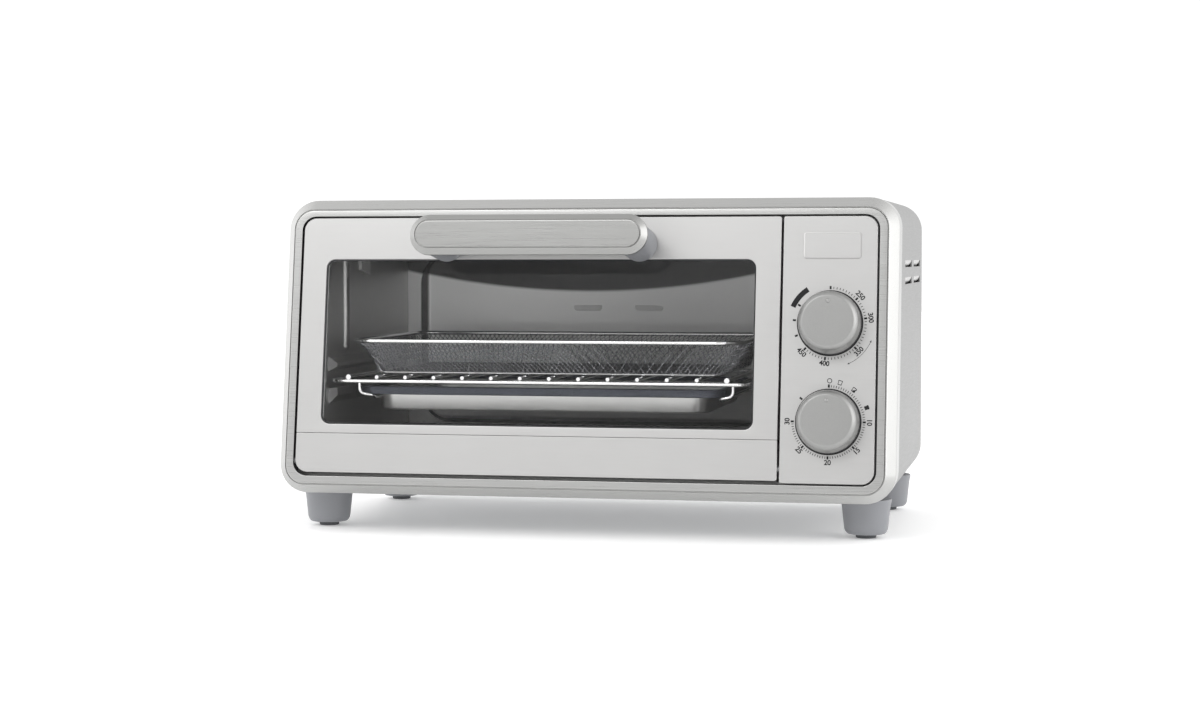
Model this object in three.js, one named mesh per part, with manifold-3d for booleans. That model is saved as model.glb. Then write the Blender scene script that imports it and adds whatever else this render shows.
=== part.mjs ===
// Countertop toaster oven with a drop-down glass door, a front face that leans back and two dials.
//
// Layout frame, in millimetres: X to the right, Y from front to back, Z up, with z = 0 under the feet.
// Pieces on the leaning front are drawn in the face frame: x to the right, y up the face and z out of
// it, with the origin on the gap line under the door. At the end the whole oven moves along Y, so that
// its box is centred on the origin.

import * as THREE from "three";
import { mergeVertices } from "three/addons/utils/BufferGeometryUtils.js";
import Module from "manifold-3d";

const wasm = await Module();
wasm.setup();

// ---- Driving dimensions ----

const SHEET = 1; // sheet metal
const GAP = 0.4; // clearance between neighbouring pieces
const REACH = 400; // length of a cutting tool that has to pass right through

// Case
const HALF_WIDTH = 208.4;
const LEAN = THREE.MathUtils.degToRad(8.214);
const FACE_Z = 39.14; // height of the gap line under the door
const CASE_LOW = 26.3;
const CASE_HIGH = 224.2;
const CASE_CORNER = 19.6;
const BACK_Y = 250;
const BOTTOM_HALF = 184.6; // half width of the flat bottom plate
const SIDE_SLOTS = {
  columns: [
    [85, 145],
    [165, 228],
  ],
  rows: [180.6, 169.1],
  height: 4.6,
};

// Bezel, in the face frame
const BEZEL_LOW = -13.2;
const BEZEL_HIGH = 187;
const BEZEL_CORNER = 20;
const BEVEL_WIDTH = 6.9;
const BEVEL_DEPTH = 9;
const RIM_DEPTH = 20;
const OPENING = { x: 196.3, low: -0.9, high: 175.7, corner: 9.6 };

// Door, in the face frame
const DOOR = { left: -194.8, right: 132.2, low: 1.7, high: 174.5, corner: 8.4 };
const DOOR_DEPTH = 12.6;
const FOLD_S = 28.2; // seam between the door frame and the lower panel
const WINDOW = { left: -177.9, right: 116, low: 34.4, high: 146.2, corner: 6 };
const GLASS = { left: -184, right: 122, low: 30, high: 151.4, thick: 3 };
const HINGE = { s: 9.5, n: -5.6, pin: 2.2 };

// Handle, in the face frame
const HANDLE = { left: -93.4, right: 38.4, s: 156.2, front: 47.6, half: 13.3, thick: 5.8, bevel: 3.8 };
const POST_RADIUS = 11.7;

// Controls, in the face frame
const FASCIA = { left: 133.6, right: 194.9, low: 0.2, high: 174.7, corner: 8.4, depth: 3 };
const DIAL_X = 164.9;
const TEMPERATURE_S = 104.4;
const TIMER_S = 40.4;
const KNOB_RADIUS = 20.8;
const POINTER_INSET = 8;
const KNOB_HEIGHT = 14.9;
const SHAFT_RADIUS = 3;

// Cavity
const CAVITY = { left: -185, right: 117, low: 43.7, high: 200, back: 235.3 };
const CAVITY_X = (CAVITY.left + CAVITY.right) / 2;
const RECESS = { half: 141, low: 58, high: 188, corner: 24, edge: 247, sag: 8 };
const BACK_SLOTS = { lefts: [-58, -10], width: 22, bottom: 144, top: 148 };
const FRAME_N = -15.6; // front of the inner frame, in the face frame
const LINER_T = 18.4; // how far behind the face the liner starts
const RIBS = [
  { low: 106.5, high: 116.6, tipLow: 110, tipHigh: 112 },
  { low: 84, high: 94.5, tipLow: 90, tipHigh: 95 },
];
const RIB_REACH = 6.3;
const RIB_START = 45;
const RIB_END = 226;

// Heaters and fan
const HEATER_RADIUS = 3.2;
const HEATER_Y = [95, 180];
const HEATER_Z = { upper: 189, lower: 58 };
const FAN = { y: 150, z: 151, grille: 32, blade: 24 };

// Rack, basket, pan and crumb tray
const RACK = { left: -179, right: 109.6, front: 30.2, back: 214, z: 100.7, wire: 1.5 };
const RACK_RODS = 14;
const ROD_FIRST_X = -165.8;
const ROD_LAST_X = 95.4;
const ROD_Z = 103.2;
const ROD_RADIUS = 1.3;
const BASKET = { left: -168.5, right: 104, front: 35, back: 207, low: 105, high: 129, corner: 18 };
const PAN = { left: -163.5, right: 92.6, front: 35, back: 205, low: 80, high: 97, corner: 14 };
const TRAY = { left: -168, right: 100, front: 42, low: 27.9, high: 38 };

// Feet
const FOOT_X = 185.9;
const FOOT_Y = [45.8, 217.3];
const FOOT_TOP_RADIUS = 16.8;
const PAD_RADIUS = 6.8;
const PAD_HEIGHT = 2.3;

// ---- Finishes ----

const FINISH = {
  brushed: { color: 0xb8b7b4, roughness: 0.36, metalness: 0.9 },
  satin: { color: 0xc9c8c5, roughness: 0.42, metalness: 0.85 },
  liner: { color: 0x8d8d8a, roughness: 0.45, metalness: 0.75 },
  zinc: { color: 0x9c9fa1, roughness: 0.5, metalness: 0.8 },
  chrome: { color: 0xd5d5d3, roughness: 0.16, metalness: 1 },
  greyPlastic: { color: 0x7d7f83, roughness: 0.55, metalness: 0 },
  knobMetal: { color: 0xaaaaa8, roughness: 0.38, metalness: 0.8 },
  darkMetal: { color: 0x4a4a4c, roughness: 0.5, metalness: 0.6 },
  blackPlastic: { color: 0x26272a, roughness: 0.6, metalness: 0 },
  rubber: { color: 0x5f6266, roughness: 0.8, metalness: 0 },
  glass: { color: 0x9aa0a0, roughness: 0.05, metalness: 0, transparent: true, opacity: 0.3 },
};

// ---- Solids ----

// A closed geometry as a manifold-3d solid with its faces turned outwards.
function solid(geometry) {
  const loose = geometry.index ? geometry.toNonIndexed() : geometry;
  const bare = new THREE.BufferGeometry();
  bare.setAttribute("position", loose.getAttribute("position"));
  const merged = mergeVertices(bare, 1e-4);
  const corners = merged.index.array;
  const vertProperties = merged.getAttribute("position").array;
  const outward = [];
  const inward = [];
  for (let i = 0; i < corners.length; i += 3) {
    const [a, b, c] = corners.slice(i, i + 3);
    if (a !== b && b !== c && c !== a) {
      outward.push(a, b, c);
      inward.push(a, c, b);
    }
  }
  const build = (list) =>
    new wasm.Manifold(new wasm.Mesh({ numProp: 3, vertProperties, triVerts: Uint32Array.from(list) }));
  const made = build(outward);
  return made.volume() < 0 ? build(inward) : made;
}

function join(first, ...others) {
  return others.reduce((all, next) => all.add(next), first);
}

function cut(base, ...tools) {
  return tools.reduce((left, tool) => left.subtract(tool), base);
}

function geometryOf(made) {
  const mesh = made.getMesh();
  const geometry = new THREE.BufferGeometry();
  geometry.setAttribute("position", new THREE.BufferAttribute(Float32Array.from(mesh.vertProperties), 3));
  geometry.setIndex(new THREE.BufferAttribute(Uint32Array.from(mesh.triVerts), 1));
  geometry.computeVertexNormals();
  return geometry;
}

// ---- Shapes ----

// A rectangle with rounded corners. radius is one number, or one for each corner: bottom left, bottom
// right, top right, top left.
function roundRect(x0, y0, x1, y1, radius) {
  const [bl, br, tr, tl] = Array.isArray(radius) ? radius : [radius, radius, radius, radius];
  const shape = new THREE.Shape();
  shape.moveTo(x0 + bl, y0);
  shape.lineTo(x1 - br, y0);
  if (br) shape.absarc(x1 - br, y0 + br, br, -Math.PI / 2, 0, false);
  shape.lineTo(x1, y1 - tr);
  if (tr) shape.absarc(x1 - tr, y1 - tr, tr, 0, Math.PI / 2, false);
  shape.lineTo(x0 + tl, y1);
  if (tl) shape.absarc(x0 + tl, y1 - tl, tl, Math.PI / 2, Math.PI, false);
  shape.lineTo(x0, y0 + bl);
  if (bl) shape.absarc(x0 + bl, y0 + bl, bl, Math.PI, Math.PI * 1.5, false);
  return shape;
}

function polygon(points) {
  return new THREE.Shape(points.map(([x, y]) => new THREE.Vector2(x, y)));
}

function circle(x, y, radius, sides = 16) {
  const points = [];
  for (let i = 0; i < sides; i += 1) {
    const angle = (i * Math.PI * 2) / sides;
    points.push([x + radius * Math.cos(angle), y + radius * Math.sin(angle)]);
  }
  return polygon(points);
}

// A shape drawn in x, y and extruded from z0 to z1. curveSegments gives twice as many steps to an arc.
function alongZ(shape, z0, z1, curveSegments = 3) {
  const geometry = new THREE.ExtrudeGeometry(shape, { depth: z1 - z0, bevelEnabled: false, curveSegments });
  return geometry.translate(0, 0, z0);
}

// A shape drawn in x, z and extruded from y0 to y1.
function alongY(shape, y0, y1, curveSegments = 3) {
  return alongZ(shape, -y1, -y0, curveSegments).rotateX(Math.PI / 2);
}

// A shape drawn in y, z and extruded from x0 to x1.
function alongX(shape, x0, x1, curveSegments = 3) {
  const turn = new THREE.Matrix4().makeBasis(
    new THREE.Vector3(0, 1, 0),
    new THREE.Vector3(0, 0, 1),
    new THREE.Vector3(1, 0, 0),
  );
  return alongZ(shape, x0, x1, curveSegments).applyMatrix4(turn);
}

function block(x0, y0, z0, x1, y1, z1) {
  const geometry = new THREE.BoxGeometry(x1 - x0, y1 - y0, z1 - z0);
  return solid(geometry.translate((x0 + x1) / 2, (y0 + y1) / 2, (z0 + z1) / 2));
}

// A round bar along Z, from z0 to z1, about the line through x, y.
function barZ(x, y, z0, z1, radius, sides = 20) {
  const bar = new THREE.CylinderGeometry(radius, radius, z1 - z0, sides);
  return solid(bar.rotateX(Math.PI / 2).translate(x, y, (z0 + z1) / 2));
}

// A round bar along X, from x0 to x1, about the line through y, z.
function barX(y, z, x0, x1, radius, sides = 16) {
  const bar = new THREE.CylinderGeometry(radius, radius, x1 - x0, sides);
  return solid(bar.rotateZ(Math.PI / 2).translate((x0 + x1) / 2, y, z));
}

// A turned piece about Z. Each point is a radius and a height, and the profile ends on the axis.
function turned(profile, sides = 24) {
  const points = profile.map(([radius, height]) => new THREE.Vector2(radius, height));
  return new THREE.LatheGeometry(points, sides).rotateX(Math.PI / 2);
}

// A wire bent through the points, with a ball at each bend.
function wire(points, radius, sides = 6) {
  const pieces = [];
  const at = points.map((p) => new THREE.Vector3(...p));
  for (let i = 1; i < at.length; i += 1) {
    const along = at[i].clone().sub(at[i - 1]);
    const bar = new THREE.CylinderGeometry(radius, radius, along.length(), sides);
    const turn = new THREE.Quaternion().setFromUnitVectors(new THREE.Vector3(0, 1, 0), along.normalize());
    const middle = at[i].clone().add(at[i - 1]).multiplyScalar(0.5);
    pieces.push(solid(bar.applyQuaternion(turn).translate(middle.x, middle.y, middle.z)));
  }
  for (const bend of at.slice(1, -1)) {
    const ball = new THREE.SphereGeometry(radius * 1.02, sides, 4);
    pieces.push(solid(ball.translate(bend.x, bend.y, bend.z)));
  }
  return join(...pieces);
}

// ---- The leaning face ----

const oven = new THREE.Group();
const face = new THREE.Group();
face.rotation.x = Math.PI / 2 - LEAN;
face.position.z = FACE_Z;
oven.add(face);

// The face frame sheared so that z is level: planes of equal z stay parallel to the face, and walls drawn
// along z run straight back.
const LEVEL = new THREE.Matrix4()
  .makeBasis(
    new THREE.Vector3(1, 0, 0),
    new THREE.Vector3(0, Math.sin(LEAN), Math.cos(LEAN)),
    new THREE.Vector3(0, -1, 0),
  )
  .setPosition(0, 0, FACE_Z);

// Everything in front of a plane parallel to the face, a level distance behind it.
function inFrontOf(distance) {
  const tool = new THREE.BoxGeometry(REACH * 2, REACH * 2, REACH).translate(0, 0, REACH / 2 - distance);
  return solid(tool.applyMatrix4(LEVEL));
}

// Adds one named piece to the oven, or to the face.
function add(group, name, made, finish) {
  const mesh = new THREE.Mesh(geometryOf(made), new THREE.MeshStandardMaterial(FINISH[finish]));
  mesh.name = name;
  group.add(mesh);
}

// ---- Case ----

// The bezel's outer form, shrunk by inset and moved back with it, down to a level distance behind the face.
function bezelForm(inset, depth) {
  const outline = roundRect(
    inset - HALF_WIDTH,
    BEZEL_LOW + inset,
    HALF_WIDTH - inset,
    BEZEL_HIGH - inset,
    BEZEL_CORNER - inset,
  );
  const form = new THREE.ExtrudeGeometry(outline, {
    depth,
    bevelThickness: BEVEL_DEPTH,
    bevelSize: BEVEL_WIDTH,
    bevelOffset: -BEVEL_WIDTH,
    bevelSegments: 1,
    curveSegments: 4,
  });
  return solid(form.translate(0, 0, -depth - BEVEL_DEPTH - inset).applyMatrix4(LEVEL));
}

function frontBezel() {
  const wall = 1.3;
  const back = RIM_DEPTH + BEVEL_DEPTH;
  const hollow = bezelForm(wall, RIM_DEPTH * 2);
  const hole = roundRect(-OPENING.x, OPENING.low, OPENING.x, OPENING.high, OPENING.corner);
  const opening = solid(alongZ(hole, -REACH, REACH).applyMatrix4(LEVEL));
  const front = bezelForm(0, RIM_DEPTH * 2).intersect(inFrontOf(back));
  return cut(front, hollow, opening);
}

// Punched slots in two rows and two columns on each side of the shell.
function louvreCuts() {
  const cuts = [];
  for (const [y0, y1] of SIDE_SLOTS.columns) {
    for (const z of SIDE_SLOTS.rows) {
      cuts.push(block(-REACH, y0, z - SIDE_SLOTS.height / 2, REACH, y1, z + SIDE_SLOTS.height / 2));
    }
  }
  return cuts;
}

function outerShell() {
  const half = HALF_WIDTH - GAP;
  const outline = roundRect(-half, CASE_LOW, half, CASE_HIGH, CASE_CORNER);
  outline.holes.push(
    roundRect(SHEET - half, CASE_LOW + SHEET, half - SHEET, CASE_HIGH - SHEET, CASE_CORNER - SHEET),
  );
  const wrap = solid(alongY(outline, -REACH / 8, BACK_Y, 4));
  const slot = BOTTOM_HALF + GAP;
  const bottom = block(-slot, -REACH, CASE_LOW - SHEET, slot, REACH, CASE_LOW + 2 * SHEET);
  return cut(wrap, bottom, inFrontOf(RIM_DEPTH + BEVEL_DEPTH + GAP), ...louvreCuts());
}

function bottomPlate() {
  const front = RIM_DEPTH + BEVEL_DEPTH + GAP - 1.6;
  const plate = block(-BOTTOM_HALF, front, CASE_LOW, BOTTOM_HALF, BACK_Y - 1, CASE_LOW + SHEET);
  const vents = [];
  for (let i = 0; i < 5; i += 1) {
    const y = 90 + 22 * i;
    vents.push(block(122, y, CASE_LOW - SHEET, 168, y + 6, CASE_LOW + 2 * SHEET));
  }
  return cut(plate, ...vents);
}

// A form that bellies backwards: a rounded rectangle seen from the front, and a shallow arc seen from above.
function belly(half, low, high, corner, edgeY, sag) {
  const front = roundRect(CAVITY_X - half, low, CAVITY_X + half, high, corner);
  const plan = new THREE.Shape();
  plan.moveTo(CAVITY_X - half, 0);
  plan.lineTo(CAVITY_X + half, 0);
  plan.lineTo(CAVITY_X + half, edgeY);
  plan.quadraticCurveTo(CAVITY_X, edgeY + 2 * sag, CAVITY_X - half, edgeY);
  const upright = solid(alongY(front, CAVITY.back - 4, REACH));
  return upright.intersect(solid(alongZ(plan, low - 1, high + 1, 12)));
}

const SCREW_AT = [
  [-194, 44],
  [194, 44],
  [-194, 206],
  [194, 206],
];
const GLAND_AT = [172, 62];
const REAR_PLATE_Y = BACK_Y - 1.6;

function rearPanel() {
  const half = HALF_WIDTH - GAP - SHEET - GAP;
  const low = CASE_LOW + SHEET + GAP;
  const outline = roundRect(-half, low, half, CASE_HIGH - SHEET - GAP, CASE_CORNER - SHEET - GAP);
  const plate = solid(alongY(outline, REAR_PLATE_Y, REAR_PLATE_Y + SHEET, 4));
  const outer = belly(152, 53, 196, 18, REAR_PLATE_Y + SHEET, 9.1);
  const inner = belly(151, 54, 195, 17, REAR_PLATE_Y, 9.1);
  const trim = block(-REACH, 0, 0, REACH, REAR_PLATE_Y, REACH);
  const trayMouth = block(TRAY.left - 2, 0, 0, TRAY.right + 2, REACH, TRAY.high + 2);
  const cuts = SCREW_AT.map(([x, z]) => solid(alongY(circle(x, z, 2.1), 0, REACH)));
  for (let i = 0; i < 6; i += 1) {
    const z = 120 + 12 * i;
    cuts.push(block(138, 0, z, 184, REACH, z + 4));
  }
  cuts.push(solid(alongY(circle(...GLAND_AT, 6.5), 0, REACH)));
  return cut(join(plate, outer), inner, trim, trayMouth, ...cuts);
}

function cordGland() {
  const [x, z] = GLAND_AT;
  const outside = REAR_PLATE_Y + SHEET + GAP;
  const profile = [
    [3.6, -5],
    [6, -5],
    [6, GAP],
    [9.5, GAP],
    [9.5, 3],
    [6.2, 3.6],
    [5.2, 8.4],
    [3.6, 8.4],
    [3.6, -5],
  ];
  const ring = turned(profile, 20).rotateX(-Math.PI / 2);
  return solid(ring.translate(x, outside - GAP, z));
}

function rearScrew(x, z) {
  const profile = [
    [0, -6],
    [1.7, -6],
    [1.7, GAP],
    [4, GAP],
    [3.6, 2],
    [2.2, 2.8],
    [0, 2.8],
  ];
  const screw = turned(profile, 12).rotateX(-Math.PI / 2);
  return solid(screw.translate(x, REAR_PLATE_Y + SHEET, z));
}

function foot(x, y) {
  const top = CASE_LOW - GAP;
  const bottom = PAD_HEIGHT + GAP;
  const profile = [
    [0, bottom],
    [12.4, bottom],
    [13.8, bottom + 1],
    [14.3, bottom + 2.6],
    [FOOT_TOP_RADIUS - 0.5, top - 4],
    [FOOT_TOP_RADIUS, top],
    [0, top],
  ];
  return solid(turned(profile, 20).translate(x, y, 0));
}

// ---- Inner frame and cavity liner ----

function innerFrame() {
  const plate = roundRect(-203, -7, 203, 181, 16);
  const cavityHole = roundRect(CAVITY.left, 7, CAVITY.right, 164.4, 4);
  const controlHole = roundRect(140.2, 9, 196, 166, 4);
  plate.holes.push(cavityHole, controlHole);
  return solid(alongZ(plate, FRAME_N - 1.2, FRAME_N));
}

// One side wall of the cavity, with two pressed ribs that guide the rack. side is -1 on the left.
function cavitySide(wallX, side) {
  const wall = block(
    Math.min(wallX, wallX + side * SHEET),
    -REACH / 8,
    CAVITY.low,
    Math.max(wallX, wallX + side * SHEET),
    CAVITY.back - GAP,
    CAVITY.high - GAP,
  );
  const ribs = RIBS.map((rib) => {
    const root = wallX + side * (SHEET / 2);
    const tip = wallX - side * RIB_REACH;
    const profile = polygon([
      [root, rib.low],
      [tip, rib.tipLow],
      [tip, rib.tipHigh],
      [root, rib.high],
    ]);
    return solid(alongY(profile, RIB_START, RIB_END));
  });
  const holes = [];
  for (const y of HEATER_Y) {
    for (const z of Object.values(HEATER_Z)) {
      holes.push(barX(y, z, wallX - 8, wallX + 8, HEATER_RADIUS + 1.2));
    }
  }
  return cut(join(wall, ...ribs), inFrontOf(LINER_T), ...holes);
}

function cavityRight() {
  const fanHole = barX(FAN.y, FAN.z, CAVITY.right - 8, CAVITY.right + 8, FAN.grille - 3, 28);
  return cut(cavitySide(CAVITY.right, 1), fanHole);
}

// The back wall has a drawn recess that bellies backwards, with two small louvre slots in it.
function cavityBack() {
  const left = CAVITY.left - SHEET;
  const right = CAVITY.right + SHEET;
  const plate = block(left, CAVITY.back, CAVITY.low, right, CAVITY.back + SHEET, CAVITY.high - GAP);
  const { half, low, high, corner, edge, sag } = RECESS;
  const outer = belly(half + SHEET, low - SHEET, high + SHEET, corner + SHEET, edge + SHEET, sag);
  const inner = belly(half, low, high, corner, edge, sag);
  const trim = block(-REACH, 0, 0, REACH, CAVITY.back, REACH);
  const { lefts, width, bottom, top } = BACK_SLOTS;
  const louvres = lefts.map((x) => block(x, 0, bottom, x + width, REACH, top));
  return cut(join(plate, outer), inner, trim, ...louvres);
}

function cavityCeiling() {
  const plate = block(
    CAVITY.left - SHEET,
    -REACH / 8,
    CAVITY.high,
    CAVITY.right + SHEET,
    CAVITY.back + SHEET,
    CAVITY.high + SHEET,
  );
  return cut(plate, inFrontOf(LINER_T));
}

// The floor is a frame around an opening, and crumbs fall through it to the tray.
function cavityFloor() {
  const top = CAVITY.low - GAP;
  const plate = block(
    CAVITY.left - SHEET,
    -REACH / 8,
    top - SHEET,
    CAVITY.right + SHEET,
    CAVITY.back + SHEET,
    top,
  );
  const opening = block(TRAY.left + 8, 60, 0, TRAY.right - 8, 216, REACH);
  return cut(plate, inFrontOf(LINER_T), opening);
}

// ---- Heaters and fan ----

function heater(y, z) {
  const body = barX(y, z, -191.5, 123.5, HEATER_RADIUS, 12);
  const pins = barX(y, z, -199, 131, 1.5, 8);
  return join(body, pins);
}

// A plate outside the cavity wall that holds the ends of all the heaters.
function heaterSupport(x) {
  const plate = polygon([
    [70, 50],
    [192, 50],
    [192, 66],
    [84, 66],
    [84, 181],
    [192, 181],
    [192, 196],
    [70, 196],
  ]);
  const holes = [];
  for (const y of HEATER_Y) {
    for (const z of Object.values(HEATER_Z)) {
      holes.push(barX(y, z, x - 5, x + 5, HEATER_RADIUS + GAP));
    }
  }
  return cut(solid(alongX(plate, x, x + SHEET)), ...holes);
}

function fanMotor() {
  const body = barX(FAN.y, FAN.z, 119.6, 146, 24, 24);
  const cap = barX(FAN.y, FAN.z, 140, 152, 9, 16);
  const bore = barX(FAN.y, FAN.z, 110, 127, 2.6, 12);
  return cut(join(body, cap), bore);
}

function fanBlade() {
  const hub = barX(FAN.y, FAN.z, 109, 114.6, 6, 16);
  const shaft = barX(FAN.y, FAN.z, 111, 125, 2.1, 12);
  const count = 6;
  const vanes = [];
  for (let i = 0; i < count; i += 1) {
    const vane = new THREE.BoxGeometry(SHEET, 8, FAN.blade - 4).translate(0, 0, FAN.blade / 2 + 2);
    vane.rotateZ(0.45).translate(111.8, 0, 0).rotateX((i * Math.PI * 2) / count);
    vanes.push(solid(vane.translate(0, FAN.y, FAN.z)));
  }
  return join(hub, shaft, ...vanes);
}

function fanGrille() {
  const outside = FAN.grille;
  const profile = [
    [0, 0],
    [outside - 5, 0],
    [outside - 4, 1],
    [outside - 4, 9.6],
    [outside, 9.6],
    [outside, 10.6],
    [outside - 5, 10.6],
    [outside - 5, SHEET],
    [0, SHEET],
  ];
  const dish = turned(profile, 28).rotateY(Math.PI / 2);
  const placed = solid(dish.translate(CAVITY.right - 11.2, FAN.y, FAN.z));
  const slots = [];
  for (let i = -3; i <= 3; i += 1) {
    const half = Math.sqrt((outside - 9) ** 2 - (i * 6.4) ** 2);
    const z = FAN.z + i * 6.4;
    slots.push(block(100, FAN.y - half, z - 1.8, 108, FAN.y + half, z + 1.8));
  }
  return cut(placed, ...slots);
}

// ---- Door ----

function handleScrewHole(x, low, high, radius) {
  return barZ(x, HANDLE.s + 1.4, low, high, radius, 12);
}

// A shallow pressed tray: a front skin with a flange all round, open at the back.
function pressedPanel(panel, depth, corners) {
  const grow = (inset) =>
    roundRect(
      panel.left + inset,
      panel.low + inset,
      panel.right - inset,
      panel.high - inset,
      corners.map((radius) => Math.max(radius - inset, 0.4)),
    );
  const body = solid(alongZ(grow(0), -depth, 0));
  return cut(body, solid(alongZ(grow(SHEET), -depth - 1, -SHEET)));
}

function doorFrame() {
  const panel = { left: DOOR.left, right: DOOR.right, low: FOLD_S + 0.15, high: DOOR.high };
  const pressed = pressedPanel(panel, DOOR_DEPTH - 1.6, [0.5, 0.5, 1.4, DOOR.corner]);
  const hole = roundRect(WINDOW.left, WINDOW.low, WINDOW.right, WINDOW.high, WINDOW.corner);
  const open = block(DOOR.left + SHEET, FOLD_S - 5, -REACH, DOOR.right - SHEET, FOLD_S + 2, -SHEET);
  return cut(
    pressed,
    solid(alongZ(hole, -REACH, REACH)),
    open,
    handleScrewHole(HANDLE.left, -REACH, REACH, 2.6),
    handleScrewHole(HANDLE.right, -REACH, REACH, 2.6),
  );
}

function doorLowerPanel() {
  const panel = { left: DOOR.left, right: DOOR.right, low: DOOR.low, high: FOLD_S - 0.15 };
  const pressed = pressedPanel(panel, DOOR_DEPTH - 1.6, [DOOR.corner, 1.4, 0.5, 0.5]);
  const open = block(DOOR.left + SHEET, FOLD_S - 3, -REACH, DOOR.right - SHEET, FOLD_S + 5, -SHEET);
  const pinHole = barX(HINGE.s, HINGE.n, -REACH, REACH, HINGE.pin + GAP);
  return cut(pressed, open, pinHole);
}

function doorGlass() {
  const pane = roundRect(GLASS.left, GLASS.low, GLASS.right, GLASS.high, 4);
  return solid(alongZ(pane, -SHEET - GAP - GLASS.thick, -SHEET - GAP));
}

// The frame behind the glass. Its step presses the glass against the door frame.
function doorInnerFrame() {
  const inset = SHEET + GAP;
  const outline = roundRect(
    DOOR.left + inset,
    DOOR.low + inset,
    DOOR.right - inset,
    DOOR.high - inset,
    [DOOR.corner - inset, 1, 1, DOOR.corner - inset],
  );
  const rim = 4;
  const hole = roundRect(
    WINDOW.left - 1,
    WINDOW.low - 1,
    WINDOW.right + 1,
    WINDOW.high + 1,
    WINDOW.corner,
  );
  const step = roundRect(
    WINDOW.left - rim,
    WINDOW.low - 3,
    WINDOW.right + rim,
    WINDOW.high + rim,
    WINDOW.corner,
  );
  const glassBack = -SHEET - GAP - GLASS.thick - GAP;
  const plate = solid(alongZ(outline, -DOOR_DEPTH, -DOOR_DEPTH + SHEET));
  const stepped = solid(alongZ(step, -DOOR_DEPTH, glassBack));
  return cut(join(plate, stepped), solid(alongZ(hole, -REACH, REACH)));
}

function handleBar() {
  const { left, right, s, half, bevel, front, thick } = HANDLE;
  const outline = roundRect(left - half, s - half, right + half, s + half, half);
  const form = new THREE.ExtrudeGeometry(outline, {
    depth: thick,
    bevelThickness: bevel,
    bevelSize: 4.3,
    bevelOffset: -4.3,
    bevelSegments: 1,
    curveSegments: 8,
  });
  const whole = solid(form.translate(0, 0, front - thick - bevel));
  return cut(whole, block(-REACH, 0, -REACH, REACH, REACH, front - thick));
}

function handlePost(x) {
  const post = barZ(x, HANDLE.s, GAP, HANDLE.front - HANDLE.thick - GAP, POST_RADIUS, 28);
  return cut(post, handleScrewHole(x, -1, 14, 2.4));
}

function handleScrew(x) {
  const shank = handleScrewHole(x, -3, 12, 2);
  const head = handleScrewHole(x, -4.2, -SHEET - GAP, 3.9);
  return join(shank, head);
}

// A round pin through the door's flange and the bracket beside it.
function hingePin(x0, x1) {
  return barX(HINGE.s, HINGE.n, x0, x1, HINGE.pin);
}

function hingeBracket(x) {
  const plate = roundRect(1.5, FRAME_N + GAP, 18, -1.9, 1.6);
  const hole = barX(HINGE.s, HINGE.n, x - 5, x + 5, HINGE.pin + GAP);
  return cut(solid(alongX(plate, x, x + 1.2)), hole);
}

// A torsion spring: a helix around the hinge pin.
class Helix extends THREE.Curve {
  constructor(x0, x1, radius, turns) {
    super();
    Object.assign(this, { x0, x1, radius, turns });
  }

  getPoint(t, target = new THREE.Vector3()) {
    const angle = t * this.turns * Math.PI * 2;
    const x = THREE.MathUtils.lerp(this.x0, this.x1, t);
    const s = HINGE.s + this.radius * Math.cos(angle);
    return target.set(x, s, HINGE.n + this.radius * Math.sin(angle));
  }
}

function hingeSpring(x0, x1) {
  const section = circle(0, 0, 0.5, 5);
  const turns = 3;
  const spring = new THREE.ExtrudeGeometry(section, {
    steps: turns * 10,
    extrudePath: new Helix(x0, x1, 3.4, turns),
  });
  return solid(spring);
}

// ---- Controls ----

function controlFascia() {
  const pressed = pressedPanel(FASCIA, FASCIA.depth, [1.4, FASCIA.corner, FASCIA.corner, 1.4]);
  const holes = [TEMPERATURE_S, TIMER_S].map((s) => barZ(DIAL_X, s, -REACH, REACH, 4.4));
  return cut(pressed, ...holes);
}

function controlBracket() {
  const plate = roundRect(140.6, 4, 192, 168, 3);
  for (const s of [TEMPERATURE_S, TIMER_S]) plate.holes.push(circle(DIAL_X, s, 6.6));
  return solid(alongZ(plate, -5.4, -4.4, 6));
}

// The bushing and the blind bore that a dial's shaft turns in.
function withBushing(body, s) {
  const bushing = barZ(DIAL_X, s, -8, -2.4, 5);
  const bore = barZ(DIAL_X, s, -14, 1, SHAFT_RADIUS + GAP);
  return cut(join(body, bushing), bore);
}

function thermostatBody() {
  const half = 17;
  const box = roundRect(DIAL_X - half, TEMPERATURE_S - half, DIAL_X + half, TEMPERATURE_S + half, 3);
  return withBushing(solid(alongZ(box, -30, -6.4)), TEMPERATURE_S);
}

function timerBody() {
  return withBushing(barZ(DIAL_X, TIMER_S, -38, -6.4, 23.5, 28), TIMER_S);
}

function timerBell() {
  const profile = [
    [0, -38.6],
    [3, -38.6],
    [3, -41],
    [13, -41],
    [12, -44],
    [8, -46.4],
    [0, -47.2],
  ];
  return solid(turned(profile, 20).translate(DIAL_X, TIMER_S, 0));
}

function dialShaft(s) {
  return barZ(DIAL_X, s, -13, 11, SHAFT_RADIUS, 16);
}

function dialKnob(s) {
  const base = 0.7;
  const bore = 11;
  const top = KNOB_HEIGHT;
  const profile = [
    [0, bore],
    [SHAFT_RADIUS + GAP, bore],
    [SHAFT_RADIUS + GAP, 0],
    [KNOB_RADIUS - 1.2, 0],
    [KNOB_RADIUS, 1],
    [KNOB_RADIUS - 1.3, top - 3],
    [KNOB_RADIUS - 2.2, top - 1.1],
    [KNOB_RADIUS - 3.9, top],
    [0, top],
  ];
  const knob = solid(turned(profile, 36).translate(DIAL_X, s, base));
  const pointer = barZ(DIAL_X, s + KNOB_RADIUS - POINTER_INSET, top, base + top + 0.5, 1.1, 10);
  return join(knob, pointer);
}

// ---- Rack, basket, pan and tray ----

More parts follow.
